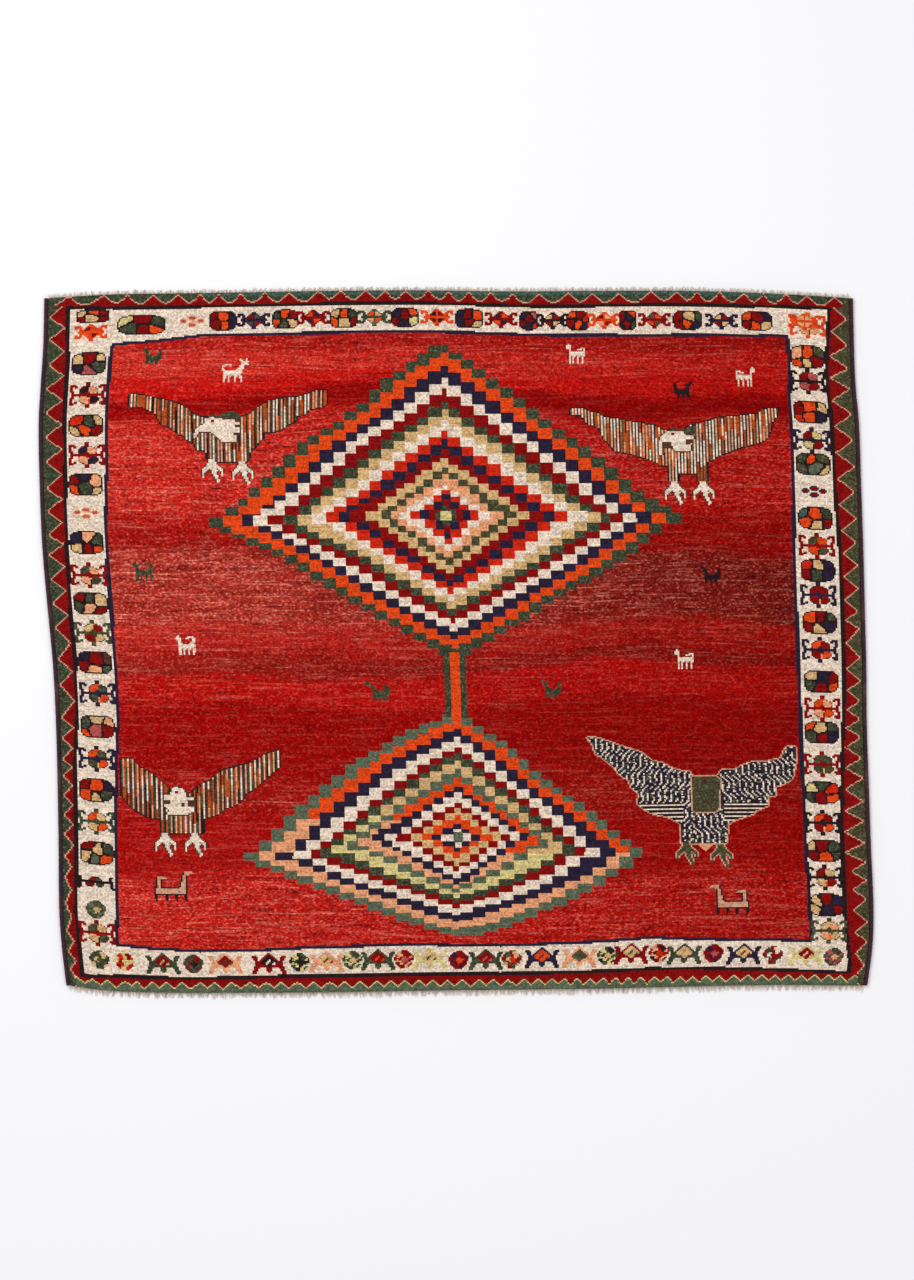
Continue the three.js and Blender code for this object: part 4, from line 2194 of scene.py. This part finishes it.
class WoolShader:
    """A wool material under construction: the node tree and the ways to add to it."""

    SPECULAR = 0.02
    SHEEN_ROUGHNESS = 0.55

    def __init__(self, name: str, roughness: float, sheen: float) -> None:
        """Start a material with one Principled BSDF.

        Args:
            name: The material's name.
            roughness: The wool's roughness.
            sheen: The weight of its soft sheen.
        """
        self.material = bpy.data.materials.new(name)
        self.material.use_nodes = True
        self.tree = self.material.node_tree
        self.tree.nodes.clear()
        self.surface = self.add(
            "ShaderNodeBsdfPrincipled",
            inputs={
                "Roughness": roughness,
                "Specular IOR Level": self.SPECULAR,
                "Sheen Weight": sheen,
                "Sheen Roughness": self.SHEEN_ROUGHNESS,
            },
        )
        self.add("ShaderNodeOutputMaterial", inputs={"Surface": Shade(self.tree, self.surface.outputs[0])})

    def add(
        self,
        kind: str,
        settings: Mapping[str, object] | None = None,
        inputs: Mapping[str | int, object] | None = None,
    ) -> bpy.types.Node:
        """Add a node.

        Args:
            kind: The node's type.
            settings: The node's own settings, with a ramp's stops and interpolation among them.
            inputs: Values or links of its inputs, by name or number.

        Returns:
            The node.
        """
        node = self.tree.nodes.new(kind)
        for label, value in (settings or {}).items():
            if label == "stops":
                set_stops(node.color_ramp, value)
            elif label == "interpolation":
                node.color_ramp.interpolation = value
            else:
                setattr(node, label, value)
        for label, value in (inputs or {}).items():
            join(self.tree, node.inputs[label], value)
        return node

    def read(self, node: bpy.types.Node, output: str | int = 0) -> Shade:
        """Take one output of a node, by name or number."""
        return Shade(self.tree, node.outputs[output])

    def mix(self, factor: "Shade | float", first: object, second: object, blend: str = "MIX") -> Shade:
        """Mix two colours.

        Args:
            factor: How much of the second.
            first: A colour.
            second: Another colour.
            blend: The way of mixing.

        Returns:
            The mixed colour.
        """
        settings = {"data_type": "RGBA", "blend_type": blend, "clamp_result": True}
        return self.read(self.add("ShaderNodeMix", settings, {0: factor, 6: first, 7: second}), 2)

    def tone(self, colour: Shade, value: Shade) -> Shade:
        """Multiply a colour by one value."""
        return self.mix(1.0, colour, self.vector(value, value, value), "MULTIPLY")

    def ramp(self, factor: Shade, stops: Sequence[tuple[float, Colour]], steps: bool = False) -> Shade:
        """Add a colour ramp.

        Args:
            factor: The value that runs along the ramp.
            stops: Place and colour of each stop, in order.
            steps: Whether each colour holds up to the next stop.

        Returns:
            The ramp's colour.
        """
        settings = {"interpolation": "CONSTANT" if steps else "LINEAR", "stops": stops}
        return self.read(self.add("ShaderNodeValToRGB", settings, {0: factor}))

    def split(self, vector: Shade) -> tuple[Shade, Shade, Shade]:
        """Part a vector or colour into its three values."""
        node = self.add("ShaderNodeSeparateXYZ", inputs={0: vector})
        return tuple(self.read(node, place) for place in range(3))

    def vector(self, x: object, y: object, z: object) -> Shade:
        """Join three values into a vector."""
        return self.read(self.add("ShaderNodeCombineXYZ", inputs={"X": x, "Y": y, "Z": z}))

    def noise(self, place: Shade, scale: float, detail: float = 2.0, roughness: float = 0.5) -> Shade:
        """Add soft noise, from 0 to 1 about a half."""
        inputs = {"Vector": place, "Scale": scale, "Detail": detail, "Roughness": roughness}
        return self.read(self.add("ShaderNodeTexNoise", inputs=inputs))

    def draw(self, x: object, y: object, z: object) -> Shade:
        """Draw an unrelated value from 0 to 1 for each place."""
        return self.read(self.add("ShaderNodeTexWhiteNoise", inputs={"Vector": self.vector(x, y, z)}))

    def attribute(self, name: str) -> Shade:
        """Read a mesh attribute's value."""
        return self.read(self.add("ShaderNodeAttribute", {"attribute_name": name}), "Fac")

    def loom(self) -> tuple[Shade, Shade]:
        """Read the column and the row of the knots, which the loom's map keeps."""
        column, row, _ = self.split(self.read(self.add("ShaderNodeUVMap", {"uv_map": "Loom"})))
        return column, row

    def place(self) -> Shade:
        """Read the place on the piece, in metres."""
        return self.read(self.add("ShaderNodeTexCoord"), "Object")

    def finish(self, colour: Shade, height: Shade, distance: float, strength: float) -> bpy.types.Material:
        """Set the colour and the relief.

        Args:
            colour: The base colour.
            height: The relief's height, 0 to 1.
            distance: How deep the relief is, in metres.
            strength: How strongly it shows.

        Returns:
            The finished material.
        """
        join(self.tree, self.surface.inputs["Base Color"], colour)
        relief = {"Height": height, "Distance": distance, "Strength": strength}
        bump = self.read(self.add("ShaderNodeBump", inputs=relief))
        join(self.tree, self.surface.inputs["Normal"], bump)
        return self.material


class Knots(NamedTuple):
    """The pile's knots in its shader: the column and row at each place, and two draws a knot."""

    wool: WoolShader
    column: Shade
    row: Shade
    first: Shade
    second: Shade

    def grain(self, grain: Grain, row: Shade | None = None, roughness: float = 0.5) -> Shade:
        """Add soft noise that is stretched over some columns and rows of knots.

        Args:
            grain: The noise.
            row: The row to read it at, or none for each place's own.
            roughness: How strong its finer detail is.

        Returns:
            The noise, from 0 to 1.
        """
        up = (row or self.row) / grain.rows
        place = self.wool.vector(self.column / grain.columns, up, grain.layer)
        return self.wool.noise(place, 1.0, grain.detail, roughness)


@dataclass(frozen=True)
class FieldDye:
    """The field's red: banded, blushed with pink, streaked by worn and by darker wool, and with painted
    light that brightens it towards the left side.
    """

    palette: Palette = Palette()
    waver: Grain = Grain(150.0, 70.0, 0.0, 1.0)
    waver_rows: float = 36.0
    ripple: Grain = Grain(36.0, 12.0, 1.0, 2.0)
    ripple_rows: float = 12.0
    stray_rows: float = 2.0
    deep_at: float = 0.65
    cloud: Grain = Grain(40.0, 6.0, 3.0, 3.0)
    blush_left: float = 1.20
    blush_fall: float = 1.15
    blush_least: float = 0.25
    blush_cloud: float = 1.5
    bow: Grain = Grain(70.0, 50.0, 4.0, 1.0)
    bow_rows: float = 9.0
    streak: Grain = Grain(30.0, 1 / 5.3, 5.0, 2.0)
    tuft: Grain = Grain(2.2, 1 / 3.7, 11.0, 1.0)
    thread: Grain = Grain(80.0, 1 / 8.3, 15.0, 1.0)
    pale_streak: Rise = Rise(0.55, 8.0, 0.50)
    pale_tuft: Rise = Rise(0.54, 7.0, 0.60)
    pale_thread: Rise = Rise(0.66, 12.0, 0.55)
    dark_streak: Rise = Rise(0.46, -7.0, 0.60)
    dark_tuft: Rise = Rise(0.48, -6.0, 0.65)
    worn_slope: float = 0.95
    worn_start: float = 0.08
    worn_left: float = 1.05
    worn_fall: float = 0.45
    dark_slope: float = 0.55
    dark_least: float = 0.40
    # Painted light: the field is brightened towards the left side and darkened towards the right, as if lit
    # from the left.
    painted_light_left: float = 1.13
    painted_light_fall: float = 0.36

    def colour(self, knots: Knots) -> Shade:
        """Mix the field's red.

        Args:
            knots: The knots of the pile.

        Returns:
            The field's colour.
        """
        wool, palette = knots.wool, self.palette
        across = knots.column / float(COLUMNS)
        deep, pink, fleck = self.bands(knots)
        reds = ((0.0, palette.clear_red), (self.deep_at, palette.deep_red), (1.0, palette.brown_red))
        cloud = knots.grain(self.cloud) * self.blush_cloud + self.blush_least
        blush = (pink * (self.blush_left - across * self.blush_fall) * cloud).clamped()
        colour = wool.mix(blush, wool.ramp(deep, reds), palette.pink_red)
        pale, dark = self.streaks(knots)
        worn = (fleck * self.worn_slope - self.worn_start) * (self.worn_left - across * self.worn_fall)
        colour = wool.mix((pale * worn).clamped(), colour, palette.pale_fleck)
        dark = (dark * (fleck * self.dark_slope + self.dark_least)).clamped()
        colour = wool.mix(dark, colour, palette.brown_red)
        # Painted light: the red is multiplied by a brightness that falls from the left side to the right.
        return wool.tone(colour, self.painted_light_left - across * self.painted_light_fall)

    def bands(self, knots: Knots) -> tuple[Shade, Shade, Shade]:
        """Read the dye bands, whose edges waver and fray.

        Args:
            knots: The knots of the pile.

        Returns:
            How deep, how pink and how flecked the red is.
        """
        waver = (knots.grain(self.waver) - 0.5) * self.waver_rows
        ripple = (knots.grain(self.ripple) - 0.5) * self.ripple_rows
        moved = knots.row + waver + ripple + (knots.first - 0.5) * self.stray_rows
        stops = [(band.row / ROWS, (band.deep, band.pink, band.fleck)) for band in DYE_BANDS]
        return knots.wool.split(knots.wool.ramp(moved / float(ROWS), stops))

    def streaks(self, knots: Knots) -> tuple[Shade, Shade]:
        """Streak the red along its rows, which bow a little.

        Args:
            knots: The knots of the pile.

        Returns:
            The weights of the pale and of the dark wool.
        """
        pick = (knots.row + (knots.grain(self.bow) - 0.5) * self.bow_rows).floor()
        streak, tuft, thread = (knots.grain(grain, pick) for grain in (self.streak, self.tuft, self.thread))
        pale = streak.rise(self.pale_streak) + tuft.rise(self.pale_tuft) + thread.rise(self.pale_thread)
        return pale, streak.rise(self.dark_streak) + tuft.rise(self.dark_tuft)


@dataclass(frozen=True)
class PileWool:
    """The knotted pile: flat yarn colours, uneven from knot to knot, with a banded field."""

    palette: Palette = Palette()
    field_dye: FieldDye = FieldDye()
    roughness: float = 0.93
    sheen: float = 0.0
    knot_depth: float = 0.0011
    relief: float = 0.55
    second_layer: float = 7.3
    heather_from: float = 0.55
    heather: float = 0.45
    drift: Grain = Grain(9.0, 3.0, 9.0, 3.0)
    drift_tone: float = 0.60
    lines: Grain = Grain(90.0, 1 / 1.7, 1.0, 1.0)
    lines_tone: float = 0.50
    least_tone: float = 0.62
    knot_tone: float = 0.62
    # Painted shade: where the gaps between knots start to darken, and how much more the gaps between rows
    # darken.
    painted_gap_shade_from: float = 0.34
    painted_gap_shade_up: float = 1.5
    least_blue: float = 0.96
    knot_blue: float = 0.08
    fibre: Grain = Grain(1 / 2.2, 1 / 2.2, 0.0, 3.0)
    fibre_roughness: float = 0.7
    swell: Grain = Grain(14.0, 8.0, 2.0, 2.0)
    swell_height: float = 0.5
    tuft_height: float = 0.35
    fibre_height: float = 0.35
    stray_height: float = 0.22

    def material(self) -> bpy.types.Material:
        """Make the material.

        Returns:
            The pile's material.
        """
        wool = WoolShader("pile_wool", self.roughness, self.sheen)
        column, row = wool.loom()
        draws = (wool.draw(column.floor(), row.floor(), layer) for layer in (0.0, self.second_layer))
        knots = Knots(wool, column, row, *draws)
        yarn = wool.attribute("yarn")
        count = len(Yarn)
        stops = [(index.value / count, self.palette.yarns[index]) for index in Yarn]
        dyed = wool.ramp((yarn + 0.5) / count, stops, steps=True)
        plain = 1.0 - yarn.above(Yarn.FIELD_RED + 0.5)
        colour = wool.mix(plain, dyed, self.field_dye.colour(knots))
        green = yarn.above(Yarn.BLUE - 0.5) * (1.0 - yarn.above(Yarn.OLIVE + 0.5))
        fleck = green * knots.second.over(self.heather_from) * self.heather
        colour = wool.mix(fleck, colour, self.palette.pale_green)
        colour = wool.mix(1.0, colour, self.tones(knots), "MULTIPLY")
        return wool.finish(colour, self.height(knots), self.knot_depth, self.relief)

    def tones(self, knots: Knots) -> Shade:
        """Darken and lighten the yarn from knot to knot and from row to row, and darken it with painted
        shade in the gaps between the knots.

        Args:
            knots: The knots of the pile.

        Returns:
            The colour to multiply by.
        """
        drift = (knots.grain(self.drift) - 0.5) * self.drift_tone
        lines = (knots.grain(self.lines, knots.row.floor()) - 0.5) * self.lines_tone
        value = knots.first * self.knot_tone + self.least_tone + drift + lines
        # Painted shade: the yarn is darkened in the gaps between knots, more between rows than between
        # columns.
        across, up = (place.off_middle().over(self.painted_gap_shade_from) for place in (knots.column, knots.row))
        value = value * (1.0 - (across + up * self.painted_gap_shade_up))
        return knots.wool.vector(value, value, value * (knots.second * self.knot_blue + self.least_blue))

    def height(self, knots: Knots) -> Shade:
        """Give the relief of the cut pile: a small tuft at each knot, with loose fibre over it.

        Args:
            knots: The knots of the pile.

        Returns:
            The height, 0 to 1.
        """
        tuft = (knots.column.peak() * knots.row.peak()).maths("SQRT") * self.tuft_height
        fibre = knots.grain(self.fibre, roughness=self.fibre_roughness) * self.fibre_height
        swell = knots.grain(self.swell) * self.swell_height
        return tuft + fibre + knots.second * self.stray_height + swell


@dataclass(frozen=True)
class BackWeave:
    """The knotted back: ribbed by the warps, with the field, border and guard showing through flatly."""

    palette: Palette = Palette()
    roughness: float = 0.95
    sheen: float = 0.05
    border_inner: float = 34.0
    border_outer: float = 13.0
    least_tone: float = 0.72
    knot_tone: float = 0.25
    # Painted shade: how much darker the back is in the grooves between the warp ribs.
    painted_rib_shade: float = 0.35
    rib_depth: float = 0.0006
    relief: float = 0.6

    def material(self) -> bpy.types.Material:
        """Make the material.

        Returns:
            The back's material.
        """
        wool = WoolShader("pile_back", self.roughness, self.sheen)
        column, row = wool.loom()
        side = (column - COLUMNS / 2).maths("ABSOLUTE")
        end = (row - ROWS / 2).maths("ABSOLUTE")
        depth = (COLUMNS / 2 - side).maths("MINIMUM", ROWS / 2 - end)
        palette = self.palette
        reds = ((0.0, palette.clear_red), (0.5, palette.brown_red), (1.0, palette.deep_red))
        red = wool.ramp(row / float(ROWS), reds)
        yarns = palette.yarns
        colour = wool.mix(depth.above(self.border_inner), yarns[Yarn.IVORY], red)
        colour = wool.mix(1.0 - depth.above(self.border_outer), colour, yarns[Yarn.CRIMSON])
        colour = wool.mix(1.0 - depth.above(self.border_outer / 2), colour, yarns[Yarn.GREEN])
        draw = wool.draw(column.floor(), row.floor(), 1.0)
        # Painted shade: the back darkens towards the grooves between the ribs of each column.
        value = draw * self.knot_tone + self.least_tone - column.off_middle() * self.painted_rib_shade
        return wool.finish(wool.tone(colour, value), column.peak(), self.rib_depth, self.relief)


@dataclass(frozen=True)
class SelvedgeWool:
    """The overcast wool of a side cord, near black purple with greyer stretches."""

    dark: Colour = linear(52, 30, 46)
    brown: Colour = linear(74, 44, 44)
    grey: Colour = linear(108, 92, 106)
    roughness: float = 0.92
    sheen: float = 0.15
    stretch_wraps: float = 28.0
    stretch_layer: float = 4.0
    brown_rise: Rise = Rise(0.35, 2.5, 1.0)
    grey_rise: Rise = Rise(0.60, 4.0, 0.7)
    fibre_scale: float = 900.0
    fibre_roughness: float = 0.7
    least_tone: float = 0.62
    wrap_tone: float = 0.35
    fibre_tone: float = 0.5
    # Painted light and shade: each wrap is lighter on its crest than in the groove beside it, and the cord
    # is lighter towards its top.
    painted_ridge_light: float = 0.15
    painted_top_light: float = 12.0
    fibre_height: float = 0.6
    ridge_height: float = 0.5
    depth: float = 0.0005
    relief: float = 0.6

    def material(self) -> bpy.types.Material:
        """Make the material.

        Returns:
            The side cords' material.
        """
        wool = WoolShader("selvedge_wool", self.roughness, self.sheen)
        place = wool.place()
        wrap = wool.attribute("wrap")
        turn = wrap.floor()
        draw = wool.draw(turn, 0.0, 0.0)
        stretch_place = wool.vector(0.0, turn / self.stretch_wraps, self.stretch_layer)
        stretch = wool.noise(stretch_place, 1.0)
        colour = wool.mix(stretch.rise(self.brown_rise), self.dark, self.brown)
        colour = wool.mix(stretch.rise(self.grey_rise), colour, self.grey)
        fibre = wool.noise(place, self.fibre_scale, 3.0, self.fibre_roughness)
        _, _, height = wool.split(place)
        ridge = wrap.peak()
        value = draw * self.wrap_tone + self.least_tone + (fibre - 0.5) * self.fibre_tone
        # Painted light and shade: lighter on each wrap's crest, darker in the grooves, and lighter the
        # higher the place on the cord.
        value = value + ridge * self.painted_ridge_light + height * self.painted_top_light
        relief = fibre * self.fibre_height + ridge * self.ridge_height
        return wool.finish(wool.tone(colour, value), relief, self.depth, self.relief)


@dataclass(frozen=True)
class WarpWool:
    """Undyed warp yarn, ivory at the root and stained a little at its tips."""

    ivory: Colour = linear(242, 234, 224)
    beige: Colour = linear(222, 206, 190)
    brown: Colour = linear(170, 132, 118)
    pink: Colour = linear(218, 160, 148)
    roughness: float = 0.9
    sheen: float = 0.2
    brown_from: float = 0.86
    brown_stain: float = 0.7
    pink_below: float = 0.16
    pink_stain: float = 0.55
    pink_root: float = 0.4
    fibre_scale: float = 1500.0
    fibre_roughness: float = 0.6
    root_tone: float = 0.90
    fibre_tone: float = 0.3
    tip_tone: float = 0.12
    depth: float = 0.0002
    relief: float = 0.4

    def material(self) -> bpy.types.Material:
        """Make the material.

        Returns:
            The fringes' material.
        """
        wool = WoolShader("warp_wool", self.roughness, self.sheen)
        dye = wool.attribute("dye")
        reach = wool.attribute("reach")
        colour = wool.mix(dye, self.ivory, self.beige)
        colour = wool.mix(dye.above(self.brown_from) * self.brown_stain, colour, self.brown)
        pink = (self.pink_below - dye).above(0.0) * self.pink_stain * (reach + self.pink_root)
        colour = wool.mix(pink, colour, self.pink)
        fibre = wool.noise(wool.place(), self.fibre_scale, 2.0, self.fibre_roughness)
        value = (fibre - 0.5) * self.fibre_tone + self.root_tone + reach * self.tip_tone
        return wool.finish(wool.tone(colour, value), fibre, self.depth, self.relief)


@dataclass
class RugMaterials:
    """The rug's four wools, put on their pieces."""

    def dress(
        self,
        rug: bpy.types.Object,
        selvedges: Sequence[bpy.types.Object],
        fringes: Sequence[bpy.types.Object],
    ) -> None:
        """Give every piece its wool.

        Args:
            rug: The pile.
            selvedges: The two side cords.
            fringes: The two fringes.
        """
        rug.data.materials.append(PileWool().material())
        rug.data.materials.append(BackWeave().material())
        for pieces, finish in ((selvedges, SelvedgeWool()), (fringes, WarpWool())):
            material = finish.material()
            for piece in pieces:
                piece.data.materials.append(material)


class Lamp(NamedTuple):
    """A square area light: its name, its place, its side in metres and its power in watts."""

    name: str
    place: tuple[float, float, float]
    size: float
    power: float


@dataclass
class Studio:
    """A pale floor, soft lights and a camera straight above the rug, as the photograph has them."""

    view_width: float = 1.782
    view_height: float = 2.496
    camera_height: float = 8.0
    sensor: float = 36.0
    floor_size: float = 40.0
    floor_drop: float = 0.0004
    floor_colour: Colour = linear(241, 240, 242)
    view_middle: tuple[float, float] = (0.0018, 0.0058)
    world_strength: float = 0.62
    paper_colour: Colour = linear(236, 236, 240)
    paper_share: float = 0.02
    paper_scale: float = 0.4
    lamps: tuple[Lamp, ...] = (
        Lamp("key_light", (-2.6, 2.2, 4.6), 3.0, 150.0),
        Lamp("fill_light", (2.8, -1.8, 5.0), 4.0, 70.0),
    )

    def build(self) -> None:
        """Lay the floor, hang the lights and set the camera."""
        self.lay_floor()
        for lamp in self.lamps:
            self.hang(lamp)
        self.set_world()
        self.set_camera()

    def lay_floor(self) -> None:
        """Lay the pale floor just under the rug."""
        bpy.ops.object.select_all(action="DESELECT")
        bpy.ops.mesh.primitive_plane_add(size=self.floor_size, location=(0, 0, -self.floor_drop))
        floor = bpy.context.active_object
        floor.name = "studio_floor"
        paper = WoolShader("studio_paper", 0.9, 0.0)
        tone = paper.noise(paper.place(), self.paper_scale, 1.0)
        colour = paper.mix(tone * self.paper_share, self.floor_colour, self.paper_colour)
        floor.data.materials.append(paper.finish(colour, tone, 0.001, 0.0))

    def hang(self, lamp: Lamp) -> None:
        """Hang a light that points at the rug.

        Args:
            lamp: The light.
        """
        data = bpy.data.lights.new(lamp.name, "AREA")
        data.size = lamp.size
        data.energy = lamp.power
        light = bpy.data.objects.new(lamp.name, data)
        light.location = lamp.place
        light.rotation_euler = (-light.location).to_track_quat("-Z", "Y").to_euler()
        bpy.context.scene.collection.objects.link(light)

    def set_world(self) -> None:
        """Light the scene from all round with a soft white."""
        world = bpy.data.worlds.new("soft_white")
        world.use_nodes = True
        background = world.node_tree.nodes["Background"]
        background.inputs["Color"].default_value = (1.0, 1.0, 1.0, 1.0)
        background.inputs["Strength"].default_value = self.world_strength
        bpy.context.scene.world = world

    def set_camera(self) -> None:
        """Set a long lens straight above, the rug's top end upwards in the picture."""
        data = bpy.data.cameras.new("camera")
        data.sensor_fit = "VERTICAL"
        data.sensor_height = self.sensor
        data.lens = self.sensor * self.camera_height / self.view_height
        camera = bpy.data.objects.new("camera", data)
        camera.location = (*self.view_middle, self.camera_height)
        bpy.context.scene.collection.objects.link(camera)
        bpy.context.scene.camera = camera
        bpy.context.scene.view_settings.view_transform = "Standard"


def main() -> None:
    """Build every piece of the rug, then the stage it lies on."""
    logging.basicConfig(level=logging.INFO)
    loom = RugDesign().weave()
    outline = RugOutline()
    rug = PileMesh(loom.cells, outline).build("pile_sheet")
    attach(rug, "root")
    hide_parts("rug_body")
    selvedges = []
    for side, node in ((Edge.LEFT, "selvedge_left"), (Edge.RIGHT, "selvedge_right")):
        cord = WrappedSelvedge(side, outline).build(f"wrapped_{side.value}")
        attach(cord, "root")
        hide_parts(node)
        selvedges.append(cord)
    fringes = []
    for end, node, (shortest, longest) in (
        (Edge.TOP, "fringe_top", (0.006, 0.0105)),
        (Edge.BOTTOM, "fringe_bottom", (0.010, 0.0155)),
    ):
        fringe = WarpFringe(end, outline, shortest, longest).build(f"threads_{end.value}")
        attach(fringe, "root")
        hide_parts(node)
        fringes.append(fringe)
    for piece in [rug, *selvedges, *fringes]:
        piece.data.calc_loop_triangles()
        LOG.info("%s: %d triangles", piece.name, len(piece.data.loop_triangles))
    RugMaterials().dress(rug, selvedges, fringes)
    Studio().build()


if __name__ == "__main__":
    main()
